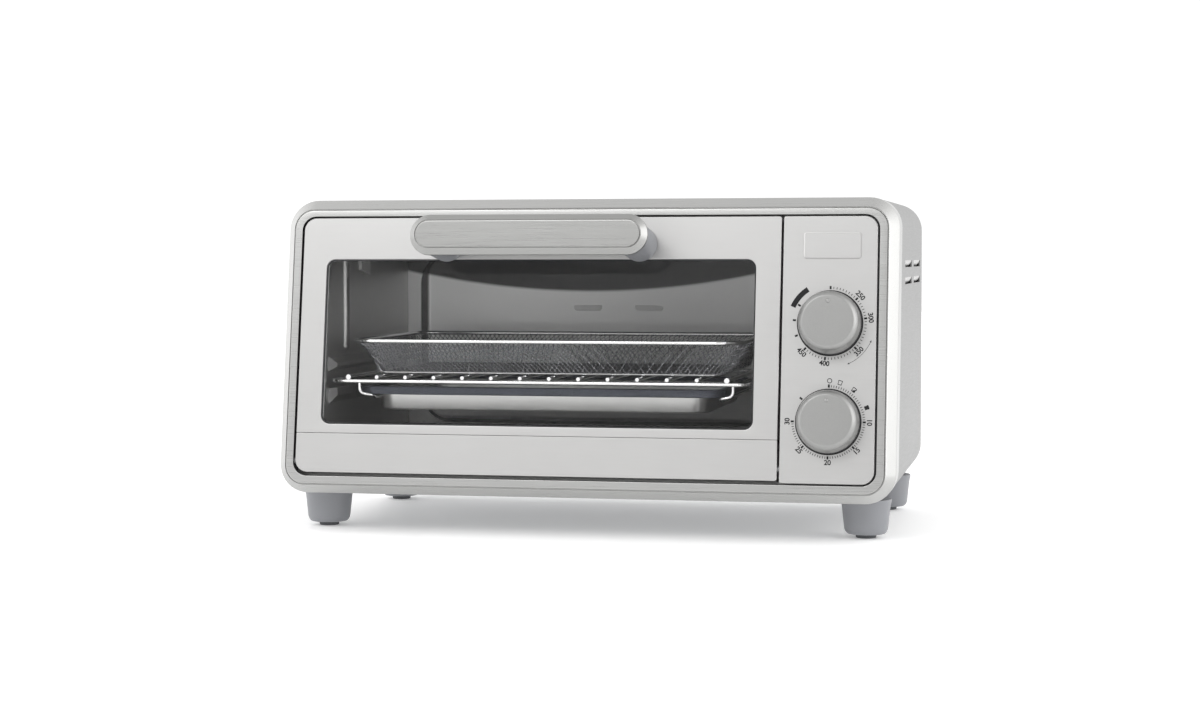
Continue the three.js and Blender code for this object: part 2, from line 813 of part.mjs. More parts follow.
// A rectangle of wire with cut corners, at one height.
function wireLoop({ left, right, front, back }, z, radius, corner) {
  const points = [
    [left, front + corner],
    [left + corner, front],
    [right - corner, front],
    [right, front + corner],
    [right, back - corner],
    [right - corner, back],
    [left + corner, back],
    [left, back - corner],
    [left, front + corner],
    [left + corner, front],
  ];
  return wire(points.map(([x, y]) => [x, y, z]), radius);
}

// A wire under the rack that carries one side of the pan's flange.
function panHanger(x) {
  const z = PAN.low + 10;
  return wire(
    [
      [x, RACK.front, RACK.z],
      [x, RACK.front, z],
      [x, RACK.back, z],
      [x, RACK.back, RACK.z],
    ],
    1.1,
  );
}

function wireRack() {
  const pieces = [wireLoop(RACK, RACK.z, RACK.wire, 6)];
  for (let i = 0; i < RACK_RODS; i += 1) {
    const x = THREE.MathUtils.lerp(ROD_FIRST_X, ROD_LAST_X, i / (RACK_RODS - 1));
    const rod = new THREE.CylinderGeometry(ROD_RADIUS, ROD_RADIUS, RACK.back - RACK.front + 3, 6);
    pieces.push(solid(rod.translate(x, (RACK.front + RACK.back) / 2, ROD_Z)));
  }
  pieces.push(panHanger(PAN.left + 8.7), panHanger(PAN.right - 8.7));
  return join(...pieces);
}

// Draws in the lower end of an upright geometry, by inset on every side.
function taper(geometry, item, inset) {
  const position = geometry.getAttribute("position");
  const middleX = (item.left + item.right) / 2;
  const middleY = (item.front + item.back) / 2;
  const scaleX = 1 - (2 * inset) / (item.right - item.left);
  const scaleY = 1 - (2 * inset) / (item.back - item.front);
  const middleZ = (item.low + item.high) / 2;
  for (let i = 0; i < position.count; i += 1) {
    if (position.getZ(i) < middleZ) {
      position.setX(i, middleX + (position.getX(i) - middleX) * scaleX);
      position.setY(i, middleY + (position.getY(i) - middleY) * scaleY);
    }
  }
  return geometry;
}

function trayOutline(item, inset) {
  return roundRect(
    item.left + inset,
    item.front + inset,
    item.right - inset,
    item.back - inset,
    item.corner - inset,
  );
}

function meshBasket() {
  const wall = 1.2;
  const flare = 13;
  const outer = solid(taper(alongZ(trayOutline(BASKET, 1), BASKET.low, BASKET.high), BASKET, flare));
  const above = { ...BASKET, low: BASKET.low + wall, high: BASKET.high + 2 };
  const inner = solid(taper(alongZ(trayOutline(BASKET, 1 + wall), above.low, above.high), above, flare));
  const rimPath = { left: BASKET.left + 1.4, right: BASKET.right - 1.4 };
  const rim = wireLoop(
    { ...rimPath, front: BASKET.front + 1.4, back: BASKET.back - 1.4 },
    BASKET.high - 1,
    1.5,
    BASKET.corner / 2,
  );
  return join(cut(outer, inner), rim);
}

function bakePan() {
  const wall = 0.9;
  const side = 11.5;
  const rimWidth = 5;
  const flangeZ = PAN.low + 13;
  const body = solid(taper(alongZ(trayOutline(PAN, side), PAN.low, flangeZ + wall), PAN, 1.5));
  const hollow = { ...PAN, low: PAN.low + wall };
  const inside = solid(taper(alongZ(trayOutline(PAN, side + wall), hollow.low, PAN.high + 1), hollow, 1.5));
  const flange = trayOutline(PAN, 1);
  flange.holes.push(trayOutline(PAN, side + wall / 2));
  const rim = trayOutline(PAN, 0);
  rim.holes.push(trayOutline(PAN, rimWidth));
  return join(
    cut(body, inside),
    solid(alongZ(flange, flangeZ, flangeZ + wall)),
    solid(alongZ(rim, PAN.high - 5.5, PAN.high)),
  );
}

// The tray slides out through the back. Its end plate is the grip.
function crumbTray() {
  const back = REAR_PLATE_Y + SHEET + 1.4;
  const body = block(TRAY.left, TRAY.front, TRAY.low, TRAY.right, back, TRAY.high);
  const inside = block(
    TRAY.left + SHEET,
    TRAY.front + SHEET,
    TRAY.low + SHEET,
    TRAY.right - SHEET,
    back - SHEET,
    REACH,
  );
  const plate = block(TRAY.left - 6, back - SHEET, TRAY.low, TRAY.right + 6, back, TRAY.high + 6);
  const lip = block(-60, back - SHEET, TRAY.high, -8, back + 6, TRAY.high + SHEET);
  return join(cut(body, inside), plate, lip);
}

// ---- Assembly ----

add(face, "inner_frame", innerFrame(), "liner");
add(oven, "front_bezel", frontBezel(), "brushed");
add(oven, "outer_shell", outerShell(), "satin");
add(oven, "bottom_plate", bottomPlate(), "zinc");
add(oven, "rear_panel", rearPanel(), "satin");
add(oven, "cord_gland", cordGland(), "blackPlastic");

const CORNER_NAMES = ["lower_left", "lower_right", "upper_left", "upper_right"];
SCREW_AT.forEach(([x, z], i) => add(oven, `rear_screw_${CORNER_NAMES[i]}`, rearScrew(x, z), "zinc"));

for (const [row, y] of [
  ["front", FOOT_Y[0]],
  ["rear", FOOT_Y[1]],
]) {
  for (const [side, x] of [
    ["left", -FOOT_X],
    ["right", FOOT_X],
  ]) {
    add(oven, `foot_${row}_${side}`, foot(x, y), "greyPlastic");
    add(oven, `foot_pad_${row}_${side}`, barZ(x, y, 0, PAD_HEIGHT, PAD_RADIUS), "rubber");
  }
}

add(oven, "cavity_left_wall", cavitySide(CAVITY.left, -1), "liner");
add(oven, "cavity_right_wall", cavityRight(), "liner");
add(oven, "cavity_back_wall", cavityBack(), "liner");
add(oven, "cavity_ceiling", cavityCeiling(), "liner");
add(oven, "cavity_floor", cavityFloor(), "liner");

for (const level of ["upper", "lower"]) {
  add(oven, `heater_${level}_front`, heater(HEATER_Y[0], HEATER_Z[level]), "darkMetal");
  add(oven, `heater_${level}_rear`, heater(HEATER_Y[1], HEATER_Z[level]), "darkMetal");
}
add(oven, "heater_support_left", heaterSupport(CAVITY.left - 5.2), "zinc");
add(oven, "heater_support_right", heaterSupport(CAVITY.right + 4.2), "zinc");
add(oven, "fan_motor", fanMotor(), "darkMetal");
add(oven, "fan_blade", fanBlade(), "zinc");
add(oven, "fan_grille", fanGrille(), "liner");

add(face, "door_frame", doorFrame(), "satin");
add(face, "door_lower_panel", doorLowerPanel(), "satin");
add(face, "door_glass", doorGlass(), "glass");
add(face, "door_inner_frame", doorInnerFrame(), "liner");
add(face, "handle_bar", handleBar(), "brushed");
for (const side of ["left", "right"]) {
  add(face, `handle_post_${side}`, handlePost(HANDLE[side]), "greyPlastic");
  add(face, `handle_screw_${side}`, handleScrew(HANDLE[side]), "zinc");
}
add(face, "hinge_pin_left", hingePin(-200.8, -183), "zinc");
add(face, "hinge_pin_right", hingePin(125, 139), "zinc");
add(face, "hinge_bracket_left", hingeBracket(-199.6), "zinc");
add(face, "hinge_bracket_right", hingeBracket(136.6), "zinc");
add(face, "hinge_spring_left", hingeSpring(-188.2, -184.6), "zinc");
add(face, "hinge_spring_right", hingeSpring(126.6, 130.2), "zinc");

add(face, "control_fascia", controlFascia(), "satin");
add(face, "control_bracket", controlBracket(), "zinc");
add(face, "thermostat_body", thermostatBody(), "blackPlastic");
add(face, "timer_body", timerBody(), "zinc");
add(face, "timer_bell", timerBell(), "chrome");
for (const [name, s] of [
  ["temperature", TEMPERATURE_S],
  ["timer", TIMER_S],
]) {
  add(face, `${name}_knob`, dialKnob(s), "knobMetal");
  add(face, `${name}_shaft`, dialShaft(s), "zinc");
}

add(oven, "wire_rack", wireRack(), "chrome");
add(oven, "mesh_basket", meshBasket(), "chrome");
add(oven, "bake_pan", bakePan(), "satin");
add(oven, "crumb_tray", crumbTray(), "satin");

const middle = new THREE.Box3().setFromObject(oven, true).getCenter(new THREE.Vector3());
oven.position.y = -middle.y;

export default oven;
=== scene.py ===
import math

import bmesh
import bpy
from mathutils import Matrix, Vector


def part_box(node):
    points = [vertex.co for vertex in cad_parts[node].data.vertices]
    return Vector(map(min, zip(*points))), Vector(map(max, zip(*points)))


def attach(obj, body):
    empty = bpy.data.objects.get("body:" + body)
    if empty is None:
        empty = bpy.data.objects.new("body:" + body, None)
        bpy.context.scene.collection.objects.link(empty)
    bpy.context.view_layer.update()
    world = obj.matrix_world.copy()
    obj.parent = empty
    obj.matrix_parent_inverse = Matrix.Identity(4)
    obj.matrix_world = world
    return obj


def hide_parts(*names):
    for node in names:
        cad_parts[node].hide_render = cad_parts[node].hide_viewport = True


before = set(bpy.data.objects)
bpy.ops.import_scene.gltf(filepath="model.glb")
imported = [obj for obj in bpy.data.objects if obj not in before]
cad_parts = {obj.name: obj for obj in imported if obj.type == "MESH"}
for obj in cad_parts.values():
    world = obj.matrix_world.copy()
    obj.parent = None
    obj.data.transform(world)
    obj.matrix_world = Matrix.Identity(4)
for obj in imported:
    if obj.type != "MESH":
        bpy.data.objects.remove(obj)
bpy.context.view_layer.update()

# Looks of a countertop toaster oven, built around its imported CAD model.
#
# Shapes are drawn in millimetres, in the CAD layout frame: X to the right, Y to the back, Z up. A place
# function turns a drawn point into a point of the model, in metres: upright() for the case, on_face() for
# the leaning door and panel, with n out of the face, and level() for walls that run straight back, with t
# behind the face. endways() and sideways() are for prisms that run along Y or X. The dimensions are those of
# the CAD part.

MM = 0.001

# ---- Driving dimensions, as in the CAD part ----

LEAN = math.radians(8.214)
FACE_Z = 39.14
HALF_WIDTH = 208.4
SHELL_HALF = 208.0
CASE_LOW = 26.3
CASE_HIGH = 224.2
CASE_CORNER = 19.6
BACK_Y = 250
SHEET = 1
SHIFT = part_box("outer_shell")[1].y / MM - BACK_Y

BEZEL = (-HALF_WIDTH, -13.2, HALF_WIDTH, 187)
BEZEL_CORNER = 20
RIM_BACK = 29
OPENING = (-196.3, -0.9, 196.3, 175.7)
OPENING_CORNER = 9.6

DOOR_LEFT, DOOR_RIGHT, DOOR_LOW, DOOR_HIGH = -194.8, 132.2, 1.7, 174.5
DOOR_CORNER = 8.4
FOLD_S = 28.2
SEAM = 0.05
FLANGE_N = -11
WINDOW = (-177.9, 34.4, 116, 146.2)
WINDOW_CORNER = 6
GLASS = (-184, 30, 122, 151.4)
GLASS_FRONT = -1.4
GLASS_BACK = -4.4

HANDLE_X = (-93.4, 38.4)
HANDLE_S = 156.2
HANDLE_HALF = 13.3
HANDLE_FRONT = 47.6
HANDLE_BACK = 41.8
POST_RADIUS = 11.7

FASCIA = (133.6, 0.2, 194.9, 174.7)
FASCIA_CORNERS = (1.4, 8.4, 8.4, 1.4)
BLANK_PLATE = (146.7, 146.5, 184.5, 164)
DIAL_X = 164.9
TEMPERATURE_S = 104.4
TIMER_S = 40.4

CAVITY_LEFT, CAVITY_RIGHT, CAVITY_LOW, CAVITY_HIGH, CAVITY_BACK = -185, 117, 43.7, 199.6, 235.3
HEATER_Y = {"front": 95, "rear": 180}
HEATER_Z = {"upper": 189, "lower": 58}
HEATER_RADIUS = 3.2

RACK = (-179, 30.2, 109.6, 214)
RACK_Z = 100.7
ROD_Z = 103.5
ROD_X = (-165.8, 95.4)
RODS = 14
BASKET = (-168.5, 35, 104, 207)
BASKET_LOW, BASKET_HIGH = 105, 129
BASKET_CORNER = 18
BASKET_FLARE = 13
TRAY_CORNER = 14
PAN = (-163.5, 35, 92.6, 205)
PAN_LOW, PAN_HIGH = 80, 97

FOOT_X = 185.9
FOOT_Y = {"front": 45.8, "rear": 217.3}

RECESS = (-175, 58, 107, 188)
RECESS_CORNER = 24
RECESS_EDGE = 247
RECESS_SAG = 8


# ---- Places ----

def upright(x, y, z):
    return Vector((x, y + SHIFT, z)) * MM


def on_face(x, s, n):
    y = s * math.sin(LEAN) - n * math.cos(LEAN)
    return upright(x, y, FACE_Z + s * math.cos(LEAN) + n * math.sin(LEAN))


def level(x, s, t):
    return upright(x, s * math.sin(LEAN) + t, FACE_Z + s * math.cos(LEAN))


def endways(x, z, y):
    return upright(x, y, z)


def sideways(y, z, x):
    return upright(x, y, z)


# ---- Outlines ----

# A rectangle with rounded corners, from its lower right corner anticlockwise. radius is one number, or one
# for each corner: lower left, lower right, upper right, upper left. along puts points on the straight sides.
def rounded(box, radius, steps=6, along=0):
    x0, y0, x1, y1 = box
    low_left, low_right, high_right, high_left = radius if isinstance(radius, tuple) else (radius,) * 4
    corners = [
        (x1, y0, low_right, -1, 1, -90),
        (x1, y1, high_right, -1, -1, 0),
        (x0, y1, high_left, 1, -1, 90),
        (x0, y0, low_left, 1, 1, 180),
    ]
    points = []
    for x, y, r, inward_x, inward_y, start in corners:
        r = max(r, 0.05)
        for i in range(steps + 1):
            angle = math.radians(start + 90 * i / steps)
            points.append((x + inward_x * r + r * math.cos(angle), y + inward_y * r + r * math.sin(angle)))
    if not along:
        return points
    dense = []
    side = steps + 1
    for i, (x, y) in enumerate(points):
        dense.append((x, y))
        if i % side == steps:
            nx, ny = points[(i + 1) % len(points)]
            for j in range(1, along):
                dense.append((x + (nx - x) * j / along, y + (ny - y) * j / along))
    return dense


def shrunk(box, inset):
    return (box[0] + inset, box[1] + inset, box[2] - inset, box[3] - inset)


def smaller(radius, inset):
    if isinstance(radius, tuple):
        return tuple(max(r - inset, 0.05) for r in radius)
    return max(radius - inset, 0.05)


# Rings of one outline, each moved in by an inset and put at a height.
def insets(box, radius, profile, steps=6):
    return [
        [(x, y, height) for x, y in rounded(shrunk(box, inset), smaller(radius, inset), steps)]
        for inset, height in profile
    ]


def circle(x, y, radius, sides):
    turn = 2 * math.pi / sides
    return [(x + radius * math.cos(i * turn), y + radius * math.sin(i * turn)) for i in range(sides)]


# Rounds the bends of a line of points.
def filleted(points, radius, steps=5):
    at = [Vector(p) for p in points]
    path = [at[0]]
    for before, bend, after in zip(at, at[1:], at[2:]):
        back, on = (before - bend).normalized(), (after - bend).normalized()
        reach = min(radius, (before - bend).length / 2, (after - bend).length / 2)
        start, end = bend + back * reach, bend + on * reach
        for i in range(steps + 1):
            k = i / steps
            path.append(start * (1 - k) ** 2 + bend * 2 * k * (1 - k) + end * k ** 2)
    path.append(at[-1])
    return path


# ---- Shapes ----

# Collects the points and faces of one piece. Every shape it adds is closed.
class Shape:
    def __init__(self, place):
        self.place = place
        self.points = []
        self.faces = []

    def ring(self, points):
        first = len(self.points)
        self.points.extend(self.place(*p) for p in points)
        return list(range(first, len(self.points)))

    def bridge(self, a, b):
        for i in range(len(a)):
            j = (i + 1) % len(a)
            self.faces.append((a[i], a[j], b[j], b[i]))

    # A skin over rings of equal length: capped at both ends, or joined end to end.
    def loft(self, rings, looped=False):
        made = [self.ring(r) for r in rings]
        for a, b in zip(made, made[1:]):
            self.bridge(a, b)
        if looped:
            self.bridge(made[-1], made[0])
        else:
            self.faces.append(tuple(made[0]))
            self.faces.append(tuple(made[-1]))
        return self

    def prism(self, outline, low, high):
        return self.loft([[(x, y, low) for x, y in outline], [(x, y, high) for x, y in outline]])

    # A turned form about an upright axis. The profile gives a radius and a height.
    def turned(self, x, y, profile, sides=64):
        rings = []
        for radius, height in profile:
            rings.append([(px, py, height) for px, py in circle(x, y, max(radius, 0.02), sides)])
        return self.loft(rings)

    # A round bar along a path, with flat ends unless it is a closed loop.
    def wire(self, path, radius, sides=12, looped=False):
        path = [Vector(p) for p in path]
        last = len(path) - 1
        tangents = []
        for i, p in enumerate(path):
            before = path[i - 1] if i or looped else p
            after = path[(i + 1) % len(path)] if i < last or looped else p
            tangents.append((after - before).normalized())
        side = tangents[0].orthogonal().normalized()
        turns = [2 * math.pi * k / sides for k in range(sides)]
        rings = []
        for i, (centre, tangent) in enumerate(zip(path, tangents)):
            if i:
                side = (tangents[i - 1].rotation_difference(tangent) @ side).normalized()
            other = tangent.cross(side)
            rings.append([centre + (side * math.cos(a) + other * math.sin(a)) * radius for a in turns])
        return self.loft(rings, looped)

    # The drawn points turned into an object of its own.
    def make(self, name, body, slot, finish, *nodes, smooth=35):
        mesh = bpy.data.meshes.new(name)
        mesh.from_pydata(self.points, [], self.faces)
        cleaned = bmesh.new()
        cleaned.from_mesh(mesh)
        bmesh.ops.remove_doubles(cleaned, verts=cleaned.verts, dist=1e-6)
        bmesh.ops.dissolve_degenerate(cleaned, edges=cleaned.edges, dist=1e-7)
        bmesh.ops.recalc_face_normals(cleaned, faces=cleaned.faces)
        cleaned.to_mesh(mesh)
        cleaned.free()
        mesh.shade_smooth()
        mesh.set_sharp_from_angle(angle=math.radians(smooth))
        piece = bpy.data.objects.new(name, mesh)
        bpy.context.scene.collection.objects.link(piece)
        weighted = piece.modifiers.new("weighted", "WEIGHTED_NORMAL")
        weighted.keep_sharp = True
        mesh.materials.append(finish)
        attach(piece, body)
        if nodes:
            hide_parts(*nodes)
        return piece


# ---- Finishes ----

# The colour sockets of a Mix node.
MIX_A, MIX_B, MIX_RESULT = 6, 7, 2


class Nodes:
    def __init__(self, tree):
        self.tree = tree

    def add(self, kind, **values):
        node = self.tree.nodes.new(kind)
        for key, value in values.items():
            if key in node.inputs:
                node.inputs[key].default_value = value
            else:
                setattr(node, key, value)
        return node

    def link(self, source, target):
        self.tree.links.new(source, target)

    # Noise in object space, stretched by scale, remapped to low..high.
    def noise(self, scale, low, high, detail=3.0):
        place = self.add("ShaderNodeTexCoord")
        stretch = self.add("ShaderNodeMapping")
        stretch.inputs["Scale"].default_value = scale
        noise = self.add("ShaderNodeTexNoise", Scale=1.0, Detail=detail, Roughness=0.55)
        spread = self.add("ShaderNodeMapRange")
        spread.inputs["From Min"].default_value = 0.25
        spread.inputs["From Max"].default_value = 0.75
        spread.inputs["To Min"].default_value = low
        spread.inputs["To Max"].default_value = high
        self.link(place.outputs["Object"], stretch.inputs["Vector"])
        self.link(stretch.outputs["Vector"], noise.inputs["Vector"])
        self.link(noise.outputs["Fac"], spread.inputs["Value"])
        return spread.outputs["Result"]

    # A sum worked out by a node. Each value is a number or a socket.
    def calculate(self, operation, *values, **options):
        node = self.add("ShaderNodeMath", operation=operation, **options)
        for socket, value in zip(node.inputs, values):
            if isinstance(value, (int, float)):
                socket.default_value = value
            else:
                self.link(value, socket)
        return node.outputs[0]

    # A smooth rise from 0 to top, as a value goes from start to end.
    def rise(self, value, start, end, top=1.0):
        spread = self.add("ShaderNodeMapRange", interpolation_type="SMOOTHSTEP")
        spread.inputs["From Min"].default_value = start
        spread.inputs["From Max"].default_value = end
        spread.inputs["To Max"].default_value = top
        self.link(value, spread.inputs["Value"])
        return spread.outputs["Result"]

    # A colour mixed with a grey.
    def greyed(self, colour, tone, factor):
        mixed = self.add("ShaderNodeMix", data_type="RGBA")
        mixed.inputs[MIX_B].default_value = (tone, tone, tone, 1)
        self.link(colour, mixed.inputs[MIX_A])
        self.link(factor, mixed.inputs["Factor"])
        return mixed.outputs[MIX_RESULT]


# How much of a finish's change in tone comes from its grain, and how much from the slow clouds.
FINE_SHARE, SLOW_SHARE = 0.55, 0.45


# A finish with fine grain: the colour, the roughness and a bump vary with stretched noise. grain gives how
# many grains there are to a metre along each axis, and cloud the size of the slow change in tone.
def finish(name, colour, rough, metallic=0.0, grain=(900, 900, 900), tone=0.06, spread=0.06, bump=0.1,
           cloud=(9, 9, 9), depth=0.00004, **values):
    made = bpy.data.materials.new(name)
    made.use_nodes = True
    nodes = Nodes(made.node_tree)
    shader = made.node_tree.nodes["Principled BSDF"]
    shader.inputs["Metallic"].default_value = metallic
    for key, value in values.items():
        shader.inputs[key.replace("_", " ")].default_value = value
    dark = (*(c * (1 - tone) for c in colour), 1)
    light = (*(min(c * (1 + tone), 1) for c in colour), 1)
    fine = nodes.noise(grain, 0.0, 1.0)
    slow = nodes.noise(cloud, 0.0, 1.0, 2.0)
    clouds = nodes.calculate("MULTIPLY", slow, SLOW_SHARE)
    blend = nodes.calculate("MULTIPLY_ADD", fine, FINE_SHARE, clouds)
    colours = nodes.add("ShaderNodeMix", data_type="RGBA")
    colours.inputs[MIX_A].default_value = dark
    colours.inputs[MIX_B].default_value = light
    nodes.link(blend, colours.inputs["Factor"])
    nodes.link(colours.outputs[MIX_RESULT], shader.inputs["Base Color"])
    nodes.link(nodes.noise(grain, rough - spread, rough + spread), shader.inputs["Roughness"])
    relief = nodes.add("ShaderNodeBump", Strength=bump, Distance=depth)
    nodes.link(fine, relief.inputs["Height"])
    nodes.link(relief.outputs["Normal"], shader.inputs["Normal"])
    return made


# The handle and the bezel are of one brushed steel, in a darker copy on the handle and a lighter one on the
# bezel: painted shade on the handle and painted light on the bezel.
SHADED_HANDLE_STEEL = finish("shaded_handle_steel", (0.355, 0.355, 0.348), 0.30, 1.0, (24, 2200, 2200), 0.07, 0.05, 0.18)
BRUSHED = finish("brushed_steel", (0.48, 0.48, 0.472), 0.30, 1.0, (24, 2200, 2200), 0.06, 0.05, 0.12)
SATIN = finish("satin_steel", (0.505, 0.502, 0.497), 0.42, 1.0, (60, 2200, 2200), 0.035, 0.05, 0.10)
SHELL = finish("satin_shell", (0.265, 0.265, 0.264), 0.40, 1.0, (2200, 60, 2200), 0.03, 0.05, 0.08)
LINER = finish("cavity_liner", (0.42, 0.42, 0.415), 0.42, 0.9, (1200, 1200, 700), 0.03, 0.03, 0.03)
ZINC = finish("zinc_steel", (0.46, 0.47, 0.48), 0.48, 1.0, (260, 260, 260), 0.12, 0.08, 0.12)
SHEATH = finish("heater_sheath", (0.09, 0.09, 0.095), 0.50, 0.7, (500, 500, 500), 0.25, 0.08, 0.2)
CHROME = finish("chrome_wire", (0.80, 0.80, 0.80), 0.14, 1.0, (700, 700, 700), 0.04, 0.04, 0.05)
WOVEN = finish("woven_wire", (0.27, 0.27, 0.283), 0.28, 1.0, (900, 900, 900), 0.15, 0.08, 0.1)
PAN_STEEL = finish("pan_steel", (0.73, 0.73, 0.72), 0.36, 1.0, (80, 500, 900), 0.06, 0.06, 0.1)
# The pan's rim in dark blue-grey, though it is of the pan's steel: painted shade.
PAN_RIM_SHADE = finish("pan_rim", (0.055, 0.06, 0.075), 0.36, 0.6, (120, 900, 900), 0.2, 0.06, 0.1)
GREY_PLASTIC = finish("grey_plastic", (0.235, 0.24, 0.255), 0.42, 0.0, (1500, 1500, 1500), 0.05, 0.05, 0.12)
BLACK_PLASTIC = finish("black_plastic", (0.02, 0.02, 0.022), 0.45, 0.0, (1500, 1500, 1500), 0.2, 0.05, 0.12)
KNOB_METAL = finish("knob_metal", (0.32, 0.32, 0.315), 0.38, 0.75, (1700, 2600, 2600), 0.10, 0.06, 0.26)
RUBBER = finish("pad_rubber", (0.10, 0.105, 0.11), 0.75, 0.0, (1800, 1800, 1800), 0.1, 0.08, 0.2)
INK = finish("printed_ink", (0.006, 0.006, 0.007), 0.8, 0.0, (3000, 3000, 3000), 0.2, 0.05, 0.05)
# The back wall's liner, far lighter than the side walls' liner: painted light for the light that falls on it
# through the window.
LIT_BACK_LINER = finish("cavity_back", (0.95, 0.95, 0.945), 0.44, 0.8, (1200, 900, 1200), 0.03, 0.03, 0.03)
CERAMIC = finish("ceramic", (0.55, 0.55, 0.54), 0.5, 0.0, (600, 600, 600), 0.05, 0.05, 0.1)


# Shading painted into the back wall's metal and tuned to the photo: dark above an arch over the recess,
# darker towards the right, and darker on the step round the recess. The arch and the fade to the right are in
# metres of the model, and the step is in millimetres of the layout.
ARCH_X = -0.045
ARCH_LOW = 0.158
ARCH_CURVE = 0.8
ARCH_BELOW, ARCH_ABOVE = 0.0005, 0.0025
ARCH_TONE = 0.075
RIGHT_START, RIGHT_END = -0.19, 0.06
RIGHT_SHARE = 0.45
RIGHT_TONE = 0.12
STEP_FRONT = (CAVITY_BACK + 0.2, CAVITY_BACK + 1.6)
STEP_BACK = (RECESS_EDGE - 0.2, RECESS_EDGE - 2.2)
STEP_TONE = 0.16


def paint_back_wall_shade(material):
    nodes = Nodes(material.node_tree)
    shader = material.node_tree.nodes["Principled BSDF"]
    plain = shader.inputs["Base Color"].links[0].from_socket
    place = nodes.add("ShaderNodeTexCoord")
    split = nodes.add("ShaderNodeSeparateXYZ")
    nodes.link(place.outputs["Object"], split.inputs["Vector"])
    aside = nodes.calculate("SUBTRACT", split.outputs["X"], ARCH_X)
    square = nodes.calculate("POWER", aside, 2)
    height = nodes.calculate("MULTIPLY_ADD", square, -ARCH_CURVE, split.outputs["Z"])
    arch = nodes.rise(height, ARCH_LOW - ARCH_BELOW, ARCH_LOW + ARCH_ABOVE)
    rightward = nodes.rise(split.outputs["X"], RIGHT_START, RIGHT_END, RIGHT_SHARE)
    front, back = (
        nodes.rise(split.outputs["Y"], (start + SHIFT) * MM, (end + SHIFT) * MM)
        for start, end in (STEP_FRONT, STEP_BACK)
    )
    step = nodes.calculate("MULTIPLY", front, back)
    faded = nodes.greyed(plain, RIGHT_TONE, rightward)
    stepped = nodes.greyed(faded, STEP_TONE, step)
    nodes.link(nodes.greyed(stepped, ARCH_TONE, arch), shader.inputs["Base Color"])


# Painted shade on the back wall's metal: a shadow above the arch, and darker to the right and on the step
# round the recess.
paint_back_wall_shade(LIT_BACK_LINER)


# Clear glass that lets the lamps through to what is behind it.
def glass_finish():
    made = bpy.data.materials.new("door_glass")
    made.use_nodes = True
    nodes = Nodes(made.node_tree)
    shader = made.node_tree.nodes["Principled BSDF"]
    shader.inputs["Base Color"].default_value = (0.985, 0.985, 0.985, 1)
    shader.inputs["Transmission Weight"].default_value = 1.0
    shader.inputs["IOR"].default_value = 1.25
    nodes.link(nodes.noise((40, 40, 40), 0.0, 0.02), shader.inputs["Roughness"])
    clear = nodes.add("ShaderNodeBsdfTransparent", Color=(0.95, 0.95, 0.95, 1))
    path = nodes.add("ShaderNodeLightPath")
    mixed = nodes.add("ShaderNodeMixShader")
    nodes.link(path.outputs["Is Shadow Ray"], mixed.inputs["Fac"])
    nodes.link(shader.outputs["BSDF"], mixed.inputs[1])
    nodes.link(clear.outputs["BSDF"], mixed.inputs[2])
    nodes.link(mixed.outputs["Shader"], made.node_tree.nodes["Material Output"].inputs["Surface"])
    return made


GLASS_FINISH = glass_finish()


# ---- Case ----

# The bezel's section from its back edge, over its front, to the opening: how far in, and how far back.
BEZEL_RIM = [(0, RIM_BACK), (0, 20), (0, 9.6), (0.12, 8.9), (0.45, 8.25)]
BEZEL_BEVEL = [(5.9, 0.95), (6.25, 0.75), (6.4, 1.7), (7.15, 1.7), (7.3, 0.15), (7.7, 0)]
BEZEL_LIP = [(-0.3, 0), (-0.08, 0.08), (0, 0.3), (0, 3.2), (-0.8, 3.2), (-0.8, 1.3)]
BEZEL_INSIDE = [(7.2, 1.3), (1.3, 9), (1.3, RIM_BACK)]
BEZEL_STEPS = 10


def bezel():
    rings = insets(BEZEL, BEZEL_CORNER, BEZEL_RIM + BEZEL_BEVEL, BEZEL_STEPS)
    rings += insets(OPENING, OPENING_CORNER, BEZEL_LIP, BEZEL_STEPS)
    rings += insets(BEZEL, BEZEL_CORNER, BEZEL_INSIDE, BEZEL_STEPS)
    Shape(level).loft(rings, looped=True).make(
        "bezel", "chassis", "brushed_steel", BRUSHED, "front_bezel", smooth=28
    )


LOUVRE_Y = ((85, 145), (165, 228))
LOUVRE_Z = (169.1, 180.6)
LOUVRE_HALF = 2.3
SHELL_LIP_X = 185.0
SHELL_ARC_STEPS = 12
SHELL_GAP = 1.7
HEM = 0.3
HEM_START = BACK_Y - 0.6


# The wrap of the case: one bent sheet, open underneath, with slots punched through its sides.
def shell_section(offset):
    half, top = SHELL_HALF - offset, CASE_HIGH - offset
    low, corner = CASE_LOW + offset, CASE_CORNER - offset
    steps = SHELL_ARC_STEPS
    right = [(SHELL_LIP_X, low), (half - corner, low)]
    for i in range(1, steps + 1):
        a = math.radians(-90 + 90 * i / steps)
        right.append((half - corner + corner * math.cos(a), low + corner + corner * math.sin(a)))
    for z in LOUVRE_Z:
        right += [(half, z - LOUVRE_HALF), (half, z + LOUVRE_HALF)]
    for i in range(steps + 1):
        a = math.radians(90 * i / steps)
        right.append((half - corner + corner * math.cos(a), top - corner + corner * math.sin(a)))
    return right + [(-x, z) for x, z in reversed(right)]


